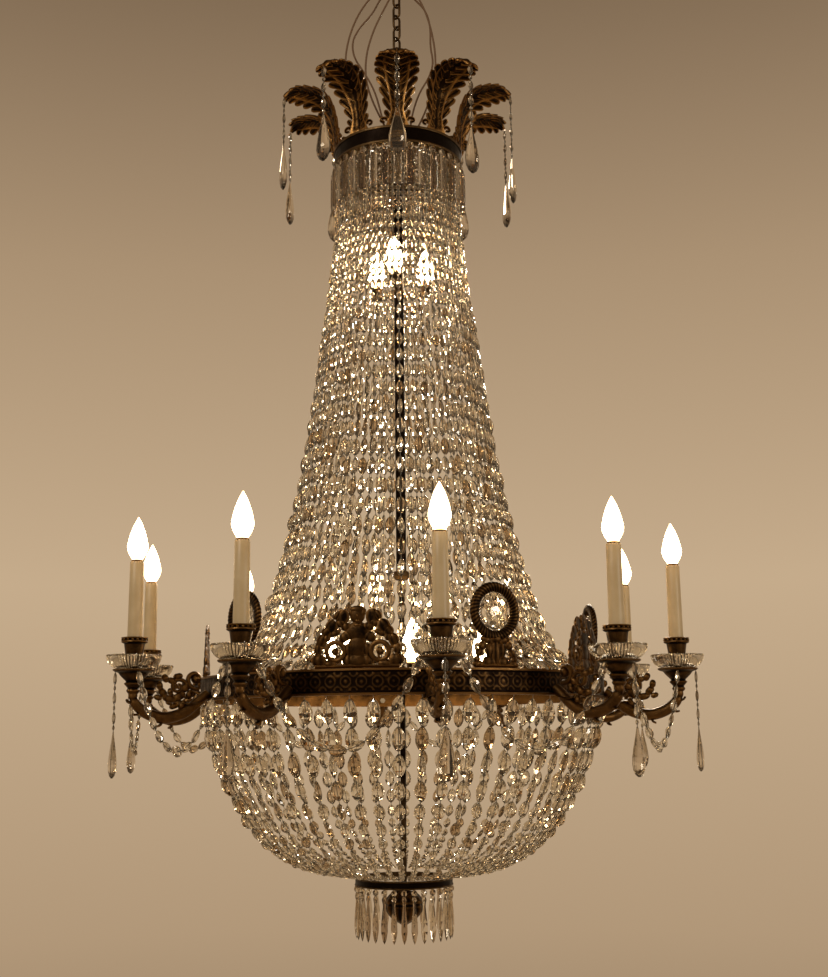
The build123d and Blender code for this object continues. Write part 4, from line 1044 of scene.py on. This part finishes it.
# %% Glass dishes
GLASS = 2.2
DISH_STEPS, DISH_FLUTES, DISH_PEARLS = 20, 52, 48
dish_bottom, dish_top = span("glass_dishes")
dish_outside = smooth(profile(
    (dish_bottom, ((POST + 1.5, 0.4), (26.0, 0.2), (33, 2.5), (39.5, 8), (43.8, 15))),
    (dish_top, ((45.6, -2),))), DISH_STEPS)
dish_inside = (dish_outside + (-GLASS, GLASS * 0.6))[::-1]
dish_inside[-1] = (POST + 1.5, dish_bottom + 0.4 + GLASS)
dish_line = np.concatenate([dish_outside, dish_inside])
is_outside = np.arange(len(dish_line)) < DISH_STEPS
flute_depth = 1.2 * np.clip((dish_line[:, 0] - 26.0) / 10.0, 0, 1) * is_outside
dish = turned(dish_line, 4 * DISH_FLUTES, ribs=DISH_FLUTES, depth=flute_depth, ring=True)
piece("dishes", on_arms(dish), dish_glass, ["glass_dishes"], tint=np.zeros(1))
piece("dish_rim_pearls", on_arms(pearls(44.6, dish_top - 1.8, 3.8, DISH_PEARLS)), dish_glass,
      cut=True, tint=tints(ARMS * DISH_PEARLS, 0.2))

# %% Cups
cup_line = np.concatenate([
    smooth(profile((cup_bottom, ((12.5, 0), (14.5, 3), (13.6, 8), (15.2, 20), (17.0, 32))),
                   (cup_top, ((17.6, -11),))), 20),
    profile((cup_top, ((21.2, -9.6), (22.6, -8.2), (22.2, -6.6), (20.6, -5.4), (20.8, -3.4),
                       (22.4, -2.0), (22.6, -0.6), (19.0, 0))))])
cup = joined(turned(cup_line, 48), pearls(20.8, cup_top - 4.4, 4.2, 16))
piece("cups", on_arms(cup), gilt, ["candle_cups"])

# %% [markdown]
# The ivory tube is a little wider at its foot and has an edge that is rounded
# off. The lamp has a belly that narrows to a tip. Its glow comes from the glass
# itself, and its tint by height, from neck to tip, makes the belly the hottest
# part, which one even glow would not show.

# %% Sleeves and lamps
LAMP_LENGTH, LAMP_STEPS, LAMP_SIDES = 77.0, 28, 24
LAMP_KNOTS = ((8.6, 0.0), (9.4, 0.06), (14.0, 0.16), (17.2, 0.28), (17.5, 0.36), (15.6, 0.50),
              (12.2, 0.66), (7.6, 0.82), (3.4, 0.93), (0.9, 1.0))
sleeve_top = span("candle_sleeves")[1]
sleeve_line = profile((cup_top, ((12.0, 0), (12.8, 0.4), (12.6, 30), (12.3, 80))),
                      (sleeve_top, ((12.0, -1.0), (11.4, 0), (8.0, 0))))
piece("sleeves", on_arms(turned(sleeve_line, 32)), ivory, ["candle_sleeves"])


def lamp(foot):
    """A candle-shaped lamp: a belly that narrows to a tip, on a short neck."""
    knots = [(radius, foot + LAMP_LENGTH * share) for radius, share in LAMP_KNOTS]
    return turned(smooth(knots, LAMP_STEPS), LAMP_SIDES)


lamp_heat = np.repeat(np.interp(np.linspace(0, 1, LAMP_STEPS), (0, 0.12, 0.35, 0.8, 1.0),
                                (0.0, 0.5, 1.0, 0.85, 0.3)), LAMP_SIDES)
socket = turned(profile((sleeve_top, ((8.0, -1), (10.4, 0), (10.4, 2.2), (9.0, 3.4)))), 24)
piece("lamp_sockets", on_arms(socket), bronze)
piece("lamps", on_arms(lamp(sleeve_top + 0.5)), lamp_glass, ["candle_lamps"],
      tint=np.tile(lamp_heat, ARMS))

# %% [markdown]
# ## Ornaments on the ring
# Two kinds stand on the ring in turn. The first is an openwork casting of
# scrolls, buds and a plain small head. Half of it is a table of bosses and a
# few bars, and its mirror image is the other half, as a Mirror modifier would
# make it. The array way keeps the mirrored faces the right way round.

# %% Scroll ornaments
MOUNT_RADIUS = 359.0
KINDS = 5
EYE = (36, 27)
SCROLL_BLOBS = (
    (24, 81, 24, 27, 10, 8), (33, 84, 12, 16, 30, 9), (42, 66, 22, 24, 30, 8),
    (36, 56, 22, 10, -25, 9), (50, 58, 18, 18, 40, 7), (58, 44, 18, 22, 20, 7),
    (50, 48, 14, 12, 0, 8), (64, 30, 14, 18, 0, 7), (62, 13, 26, 20, 0, 8),
    (45, 7, 26, 13, 0, 9), (20, 50, 22, 16, -30, 9), (28, 72, 16, 12, -40, 9),
    (14, 30, 18, 20, 0, 9), (14, 12, 22, 22, 0, 9), (18, 66, 18, 14, 0, 10))
HEAD_BLOBS = (
    (0, 12, 40, 26, 0, 10), (0, 34, 34, 40, 0, 11), (0, 58, 44, 32, 0, 11),
    (0, 84, 27, 28, 0, 15), (0, 93, 28, 13, 0, 15), (-10, 88, 9, 14, 20, 15),
    (10, 88, 9, 14, -20, 15), (0, 83, 5, 8, 0, 18), (0, 75, 10, 6, 0, 15),
    (0, 68, 16, 8, 0, 13))


def on_ring(shape):
    """A shape in the upright plane through the stem, moved out to the ring's upper face."""
    return moved(shape, y=-MOUNT_RADIUS, z=ring_top)


def mirrored(shape):
    """A shape and its mirror image across the middle."""
    return joined(shape, (shape[0] * (-1, 1, 1), [polygon[:, ::-1] for polygon in shape[1]]))


def flat_bar(line, thick, flat=0.7):
    """A bar through (across, height) points in the upright plane through the stem."""
    return bar(in_front_plane(line), thick, across=(0, 1, 0), flat=flat)


scroll_half = joined(
    blobs(SCROLL_BLOBS, SIDEWAYS), flat_bar(scroll(EYE, 14.5, 0, 360, 0.0, 40), 4.0, 0.9),
    blobs([(*EYE, 13, 13, 0, 9)], SIDEWAYS),
    flat_bar(smooth([(36, 13), (34, 20), (36, 22)], 6), 2.0),
    flat_bar(scroll((55, 26), 10, -60, 300, 0.12), np.linspace(3.4, 2.2, 48)))
foot_bar = flat_bar(smooth([(-69, 3), (-30, 3.4), (0, 4), (30, 3.4), (69, 3)], 30), 3.4, 1.2)
ornament = joined(mirrored(scroll_half), blobs(HEAD_BLOBS, SIDEWAYS, 0), foot_bar)
ornament[0][:, 1] *= np.clip(1.25 - ornament[0][:, 2] / 120, 0.4, 1.2)  # thinner upwards
piece("scroll_ornaments", around(on_ring(ornament), KINDS, ARM_AZIMUTH - HALF_BAY), shaded_gilt,
      ["scroll_mounts"])

# %% [markdown]
# The second kind is a wreath on a plinth, with a cut stone in its opening. The
# wreath is bound like a plait. It could be three twisted curves, but they would
# be hidden in each other for the most part, so it is one ring whose section
# swells and sinks with two crossed waves.

# %% Wreaths and their stones
WREATH_HALF_WIDTH, WREATH_HALF_HEIGHT, WREATH_BAND = 46.0, 49.0, 18.5
WREATH_LIFT, WREATH_DEPTH = 91.0, 6.0
PLAITS, STRANDS = 22, 3
PLINTH_BLOBS = (
    (32, 6, 20, 12, 0, 10), (34, 14, 12, 10, 0, 9), (30, 24, 14, 14, 30, 9),
    (24, 36, 16, 14, -40, 9), (14, 44, 20, 12, 20, 10), (10, 28, 18, 26, 0, 10),
    (12, 10, 24, 18, 0, 10), (22, 46, 12, 9, 30, 9))
JEWEL_RINGS = ((0.25, -0.5), (0.55, -0.40), (0.82, -0.24), (1.0, -0.05), (1.0, 0.05),
               (0.82, 0.24), (0.55, 0.40), (0.25, 0.5))
way = np.linspace(0.0, 2.0 * np.pi, 240, endpoint=False)
section_angle = np.linspace(0.0, 2.0 * np.pi, 24, endpoint=False)
outward = np.stack([np.sin(way), np.cos(way)], -1)
middle = outward * (WREATH_HALF_WIDTH - WREATH_BAND / 2, WREATH_HALF_HEIGHT - WREATH_BAND / 2)
plait = 0.90 - 0.10 * (np.cos(STRANDS * section_angle[None] + PLAITS * way[:, None])
                       * np.cos(PLAITS * way[:, None]))
wide = WREATH_BAND / 2 * plait * np.cos(section_angle)
wreath = np.stack([middle[:, :1] + outward[:, :1] * wide,
                   WREATH_DEPTH * plait * np.sin(section_angle),
                   WREATH_LIFT + middle[:, 1:] + outward[:, 1:] * wide], -1)
plinth = joined(mirrored(blobs(PLINTH_BLOBS, SIDEWAYS)),
                blobs([(0, 24, 20, 44, 0, 11), (0, 46, 30, 14, 0, 12)], SIDEWAYS),
                flat_bar(smooth([(-38, 3.4), (0, 3.6), (38, 3.4)], 12), 3.4, 1.4))
piece("wreaths", around(on_ring(joined(skin(wreath, ring=True), plinth)), KINDS,
                        ARM_AZIMUTH + HALF_BAY), shaded_gilt, ["wreath_mounts"])
jewel_size = (2 * (WREATH_HALF_WIDTH - WREATH_BAND) - 1, 12.0,
              2 * (WREATH_HALF_HEIGHT - WREATH_BAND) - 1)
jewel = on_ring(moved(facing(stone(JEWEL_RINGS, 16), jewel_size), z=WREATH_LIFT))
piece("wreath_stones", around(jewel, KINDS, ARM_AZIMUTH + HALF_BAY), bead_glass,
      ["wreath_jewels"], cut=True, tint=np.zeros(KINDS))

# %% [markdown]
# ## The bowl
# Sixty strings hang from the ring and gather at the small ring below. Their
# line is a shallow bag: nearly upright at first, then ever flatter. Here the
# long almonds come first, and the beads shrink towards the bottom. It is the
# tent's recipe with another line and other tables, so nothing new is needed.

# %% Bowl of bead strings
BOWL_STRINGS, BOWL_TURN = 60, 1.1
BOWL_HEAD, BOWL_FOOT = 368.0, 89.6
BOWL_BENDS = ((0.0, 1.0), (0.10, 0.975), (0.20, 0.947), (0.30, 0.913), (0.45, 0.845),
              (0.60, 0.754), (0.71, 0.672), (0.80, 0.587), (0.87, 0.48), (0.93, 0.354),
              (0.968, 0.18), (0.977, 0.0))
BOWL_WIDTHS = ((0, 0.3, 0.5, 0.8, 1.0), (24.0, 23.0, 18.0, 11.0, 8.0))
BOWL_LENGTHS = ((0, 0.25, 0.45, 0.6, 0.8, 1.0), (41.0, 40.0, 30.0, 20.0, 13.0, 9.0))
foot_bottom, foot_top = span("bottom_ring")
bowl_line = smooth([(BOWL_FOOT + (BOWL_HEAD - BOWL_FOOT) * out,
                     ring_bottom - (ring_bottom - foot_top) * down)
                    for down, out in BOWL_BENDS], 160)
bowl_azimuths = 360.0 / BOWL_STRINGS * np.arange(BOWL_STRINGS) - BOWL_TURN
bowl_places = all_round(strung(bowl_line, 0.008, 0.995, BOWL_WIDTHS, BOWL_LENGTHS, 1.06, 1.0),
                        bowl_azimuths, restless=30.0)
piece("bowl_beads", spread(oval_bead, bowl_places), bead_glass, ["bowl_strands"], cut=True,
      tint=tints(len(bowl_places)))
piece("bowl_wires", wires(bowl_line, BOWL_STRINGS, -BOWL_TURN), steel)

# %% [markdown]
# ## The foot
# The strings end on a thin ring with a hub and spokes. Small rounds and long
# spear prisms hang from it, and the acorn of the stem shows between them. Ring,
# hub and acorn are turned, and the acorn's lobes are twelve waves round it that
# fade out at both ends. A spear is a stone with long, uneven rings.

# %% Bottom ring, prisms and acorn
FOOT_RADIUS = 89.0
SPEARS = 30
SPEAR_WIDTH, SPEAR_BEAD = 12.5, 11.0
SPEAR_RINGS = ((0.45, 0.5), (0.75, 0.44), (0.5, 0.36), (0.42, 0.30), (0.95, -0.06),
               (1.0, -0.24), (0.55, -0.42), (0.06, -0.5))
foot_section = profile((foot_top, ((-0.6, 0), (0, -1.4), (-1.4, -3.4))),
                       (foot_bottom, ((-1.4, 3.4), (0, 1.4), (-0.6, 0), (-8, 0))),
                       (foot_top, ((-8, 0),)), radius=FOOT_RADIUS)
spoke_ends = np.array([-FOOT_RADIUS + 4, -10.0, 10.0, FOOT_RADIUS - 4])
spoke_line = np.stack([spoke_ends, np.full(4, foot_bottom + 2.5)], -1)
spokes = spread(bar(in_radial_plane(spoke_line), 2.5, flat=2.2),
                turns([ARM_AZIMUTH, ARM_AZIMUTH + 90]))
hub = turned(profile((foot_bottom, ((15.0, 5), (15.6, 3), (15.6, 1), (14.0, 0), (5.2, 0),
                                    (5.2, 5)))), 28, ring=True)
piece("foot_ring", joined(turned(foot_section, 90, ring=True), spokes, hub), bronze,
      ["bottom_ring"])
spear_foot, spear_top = span("spear_prisms")
spear_length = spear_top - spear_foot - 12
spear = moved(sized(stone(SPEAR_RINGS, 6, flat=0.7), (SPEAR_WIDTH, SPEAR_WIDTH, spear_length)),
              y=-FOOT_RADIUS + 4, z=spear_foot + spear_length / 2)
spear_bead = moved(sized(round_bead, SPEAR_BEAD), y=-FOOT_RADIUS + 4, z=foot_bottom - 6)
piece("spears", around(spear, SPEARS), drop_glass, ["spear_prisms"], cut=True,
      tint=tints(SPEARS, 0.5))
piece("spear_beads", around(spear_bead, SPEARS), bead_glass, cut=True, tint=tints(SPEARS, 0.4))
acorn_foot, acorn_top = span("bottom_finial")
acorn_line = smooth(profile(
    (acorn_top, ((6.0, 0), (17, -2), (27, -10), (33.5, -20), (31.5, -25), (33, -29), (31, -38),
                 (22, -50), (13, -56), (6, -60), (4.4, -62))), (acorn_foot, ((1.2, 0),))), 46)
acorn_depth = (1.1 * np.clip((acorn_top - acorn_line[:, 1]) / 20, 0, 1)
               * np.clip((acorn_line[:, 1] - acorn_foot) / 20, 0, 1))
piece("acorn", turned(acorn_line, 72, ribs=12, depth=acorn_depth), gilt, ["bottom_finial"])

# %% [markdown]
# ## Swags and drops
# Between the arms hang swags of almonds, from the edge of one pan to the next.
# A cloth or rope simulation could find their line, but a parabola is as close
# as the eye can tell. The beads are spaced evenly along it and the middle one
# is the largest.

# %% Swags
PAN_EYE = 31.0
SWAG_SAG, SWAG_BEADS = 132.0, 13
half_step = np.radians(HALF_BAY)
swag_half = ARM_CIRCLE * np.sin(half_step) - PAN_EYE * np.cos(half_step)
swag_plane = ARM_CIRCLE * np.cos(half_step) + PAN_EYE * np.sin(half_step)
swag_share = np.linspace(-1, 1, 400)
swag_curve = np.stack([swag_half * swag_share, pan_rim - SWAG_SAG * (1 - swag_share ** 2)], -1)
swag_run = run_along(swag_curve)
swag_pitch = swag_run[-1] / SWAG_BEADS
stations = swag_pitch * (np.arange(SWAG_BEADS) + 0.5)
x, z, ahead_x, ahead_z = (np.interp(stations + step, swag_run, swag_curve[:, axis])
                          for step in (0, 2) for axis in (0, 1))
direction = unit(np.stack([ahead_x - x, np.zeros(SWAG_BEADS), ahead_z - z], -1))
is_middle = np.arange(SWAG_BEADS) == SWAG_BEADS // 2
swag_widths = np.where(is_middle, 20.0, 15.0)[:, None]
swag_places = np.stack([np.cross(direction, (0, 1, 0)) * swag_widths,
                        np.array([0, 1, 0]) * swag_widths, direction * (swag_pitch - 1.2),
                        np.stack([x, np.full(SWAG_BEADS, -swag_plane), z], -1)], -1)
swag_azimuths = ARM_AZIMUTH + HALF_BAY + 2 * HALF_BAY * np.arange(ARMS)
swag_all = all_round(swag_places, swag_azimuths, restless=20.0)
swag_wire = bar(in_front_plane(swag_curve[::16], swag_plane), WIRE, 4, across=(0, 1, 0))
piece("swag_beads", spread(oval_bead, swag_all), bead_glass, ["crystal_swags"], cut=True,
      tint=tints(len(swag_all)))
piece("swag_wires", around(swag_wire, ARMS, ARM_AZIMUTH + HALF_BAY), steel)

# %% [markdown]
# From each leaf tip and each pan hangs a wire with long and round beads by
# turns and a pear drop. It swings on its hook as one body, so each string is a
# piece of its own that rides that body. Loops would copy one mesh, but the
# strings at the crown differ in length, so every string is worked out anew.

# %% Pendants
PEAR_RINGS = ((0.12, 0.5), (0.22, 0.42), (0.44, 0.26), (0.72, 0.08), (0.95, -0.12),
              (1.0, -0.23), (0.90, -0.35), (0.60, -0.45), (0.20, -0.5))
STRING_BEAD, LONG_BEAD = 9.0, 22.0
LONG_WIDTH, ROUND_WIDTH = 12.0, 8.0
CROWN_STRINGS = (107.0, 125.0, 132.0, 120.0, 100.0, 100.0, 100.0, 110.0, 100.0, 98.0)
FRONT_PEAR, CROWN_PEAR, ARM_PEAR = 36.0, 32.0, 30.0
pear = stone(PEAR_RINGS, 10, flat=0.46)


def pendant(name, node_name, radius, string, pear_length, pear_width, azimuth):
    """A string of long and round beads and a pear, hung from the top of its node."""
    top = span(node_name)[1]
    count = max(int(round(string / (LONG_BEAD + STRING_BEAD))), 1)
    pitch = string / count
    level = top - pitch * np.arange(count)
    places = np.zeros((2 * count, 3, 4))
    places[:, 0, 0] = places[:, 1, 1] = np.tile((LONG_WIDTH, ROUND_WIDTH), count)
    places[:, 2, 2] = np.tile((pitch * 0.66, pitch * 0.26), count)
    places[:, 1, 3] = -radius
    places[:, 2, 3] = np.stack([level - pitch * 0.35, level - pitch * 0.84], -1).ravel()
    drop = moved(sized(pear, (pear_width, pear_width, pear_length - 2)), y=-radius,
                 z=top - string - pear_length / 2)
    shape = spread(joined(spread(oval_bead, places), drop), turns(azimuth))
    tint = np.concatenate([np.repeat(tints(2 * count, 0.3), len(oval_bead[0])),
                           np.full(len(pear[0]), 0.35)])
    piece(name, shape, drop_glass, [node_name], node_name, cut=True, tint=tint)
    wire = bar(in_radial_plane([(radius, top - 0.2), (radius, top - string / 2),
                                (radius, top - string - 4)]), 0.7, 6)
    piece(name + "_wire", spread(wire, turns(azimuth)), steel, body=node_name)


for number in range(LEAVES):
    pendant(f"crown_drop_{number + 1:02d}", f"crown_pendant_{number + 1:02d}",
            LEAF_BASE + LEAF_REACH, CROWN_STRINGS[number], 95.0,
            CROWN_PEAR if number else FRONT_PEAR, 360.0 / LEAVES * number)
for number in range(ARMS):
    pendant(f"arm_drop_{number + 1:02d}", f"arm_pendant_{number + 1:02d}", ARM_CIRCLE + PAN_EYE,
            98.0, 78.0, ARM_PEAR, ARM_AZIMUTH + 2 * HALF_BAY * number)

# %% [markdown]
# ## Lamps inside the tent
# Three lamps stand on a small bar high in the tent and five on the spokes of
# the ring. They make the strings glow from within. Point lights alone would
# leave nothing to see through the beads, so these are the candles' lamps
# again, with a stronger glow, each on a turned holder.

# %% Inner lamps
UPPER_CIRCLE, LOWER_CIRCLE, HOLDER = 56.0, 150.0, 24.0
upper_azimuths = -10.0 + 120.0 * np.arange(3)
lower_azimuths = ARM_AZIMUTH + 72.0 * np.arange(5)
lower_foot, lamps_top = span("inner_lamps")
upper_foot = lamps_top - LAMP_LENGTH
LAMP_GROUPS = ((UPPER_CIRCLE, upper_azimuths, upper_foot),
               (LOWER_CIRCLE, lower_azimuths, lower_foot))


def in_groups(shape):
    """A turned shape at every lamp of both groups."""
    return [spread(moved(shape, y=-circle, z=foot), turns(azimuths))
            for circle, azimuths, foot in LAMP_GROUPS]


piece("inner_lamp_glasses", joined(*in_groups(lamp(0.0))), inner_lamp_glass, ["inner_lamps"],
      tint=np.tile(lamp_heat, len(upper_azimuths) + len(lower_azimuths)))
holder = turned(profile((-HOLDER, ((8.0, 0), (10.4, 1), (10.8, 6), (9.6, 9))),
                        (0.0, ((9.6, -4), (10.6, -2), (9.0, 0)))), 20)
bar_level = span("lamp_carriers")[1] - HOLDER + 2
carrier_bar = bar(in_radial_plane([(8.0, bar_level), (UPPER_CIRCLE, bar_level)]), 3.0, flat=1.2)
carrier_hub = turned(profile((upper_foot - HOLDER, ((10.2, 0), (15, 0), (15, 4), (10.2, 4)))),
                     20, ring=True)
carriers = joined(*in_groups(holder), spread(carrier_bar, turns(upper_azimuths)), carrier_hub)
piece("lamp_holders", carriers, bronze, ["lamp_carriers"])

# %% [markdown]
# ## Light and room
# The room is plain: a warm surround that is palest at half height, soft light
# from large lamps, and a pale floor well below. The surround is a ramp over
# the height of the view. Camera, gloss and glass all see it, while it lights
# the chandelier with an even tone, so that the backdrop can be set without
# changing the light.

# %% World
scene = bpy.context.scene
scene.view_settings.view_transform = "Standard"
world = bpy.data.worlds.new("room")
scene.world = world
world.use_nodes = True
sky = world.node_tree
sky.nodes.clear()
view = node(sky, "ShaderNodeTexCoord")
split = node(sky, "ShaderNodeSeparateXYZ")
up = node(sky, "ShaderNodeMapRange", {"From Min": -1.0, "From Max": 1.0})
ramp = node(sky, "ShaderNodeValToRGB")
stops = ramp.color_ramp.elements
stops[0].color, stops[1].color = (0.08, 0.055, 0.035, 1), (0.03, 0.02, 0.012, 1)
for position, colour in ((0.30, (0.16, 0.11, 0.065, 1)), (0.43, (0.44, 0.31, 0.19, 1)),
                         (0.56, (0.56, 0.41, 0.26, 1)), (0.68, (0.40, 0.28, 0.17, 1)),
                         (0.80, (0.16, 0.105, 0.06, 1))):
    stops.new(position).color = colour
seen = node(sky, "ShaderNodeBackground", {"Strength": 1.0})
lighting = node(sky, "ShaderNodeBackground", {"Color": (1.0, 0.86, 0.66, 1), "Strength": 0.30})
rays = node(sky, "ShaderNodeLightPath")
camera_or_gloss = node(sky, "ShaderNodeMath", operation="MAXIMUM")
any_of_three = node(sky, "ShaderNodeMath", operation="MAXIMUM")
choose = node(sky, "ShaderNodeMixShader")
output = node(sky, "ShaderNodeOutputWorld")
connect(sky, (view, "Generated", split, "Vector"), (split, "Z", up, "Value"),
        (up, "Result", ramp, "Fac"), (ramp, "Color", seen, "Color"),
        (rays, "Is Camera Ray", camera_or_gloss, 0), (rays, "Is Glossy Ray", camera_or_gloss, 1),
        (camera_or_gloss, "Value", any_of_three, 0),
        (rays, "Is Transmission Ray", any_of_three, 1), (any_of_three, "Value", choose, "Fac"),
        (lighting, "Background", choose, 1), (seen, "Background", choose, 2),
        (choose, "Shader", output, "Surface"))
print("world:", world.name)

# %% Lamps and floor
LAMP_TARGET, LAMP_SIZE = Vector((0.0, 0.0, -1.2)), 0.6
FLOOR_LEVEL, FLOOR_RADIUS, FLOOR_SIDES = -2.6, 3.1, 96
for name, location, power, colour in (
        ("key lamp", (-2.2, -2.6, 0.4), 34.0, (1.0, 0.93, 0.82)),
        ("fill lamp", (2.6, -2.0, -0.8), 18.0, (1.0, 0.92, 0.80)),
        ("back lamp", (0.8, 2.8, 0.2), 80.0, (1.0, 0.88, 0.70))):
    light = bpy.data.lights.new(name, "AREA")
    light.size = LAMP_SIZE
    light.energy = power
    light.color = colour
    soft_lamp = placed(name, light)
    soft_lamp.location = location
    aim = LAMP_TARGET - Vector(location)
    soft_lamp.rotation_euler = aim.to_track_quat("-Z", "Y").to_euler()
    print(name, power, "W")
floor_mesh = bpy.data.meshes.new("floor")
rim_angle = np.linspace(0.0, 2.0 * np.pi, FLOOR_SIDES, endpoint=False)
rim = np.stack([FLOOR_RADIUS * np.cos(rim_angle), FLOOR_RADIUS * np.sin(rim_angle),
                np.full(FLOOR_SIDES, FLOOR_LEVEL)], -1)
floor_mesh.from_pydata(rim.tolist(), [], [list(range(FLOOR_SIDES))])
floor_mesh.materials.append(clouded("pale floor", None, (0.50, 0.38, 0.25),
                                    (0.46, 0.345, 0.225), 3.0, 0.8))
placed("floor", floor_mesh)
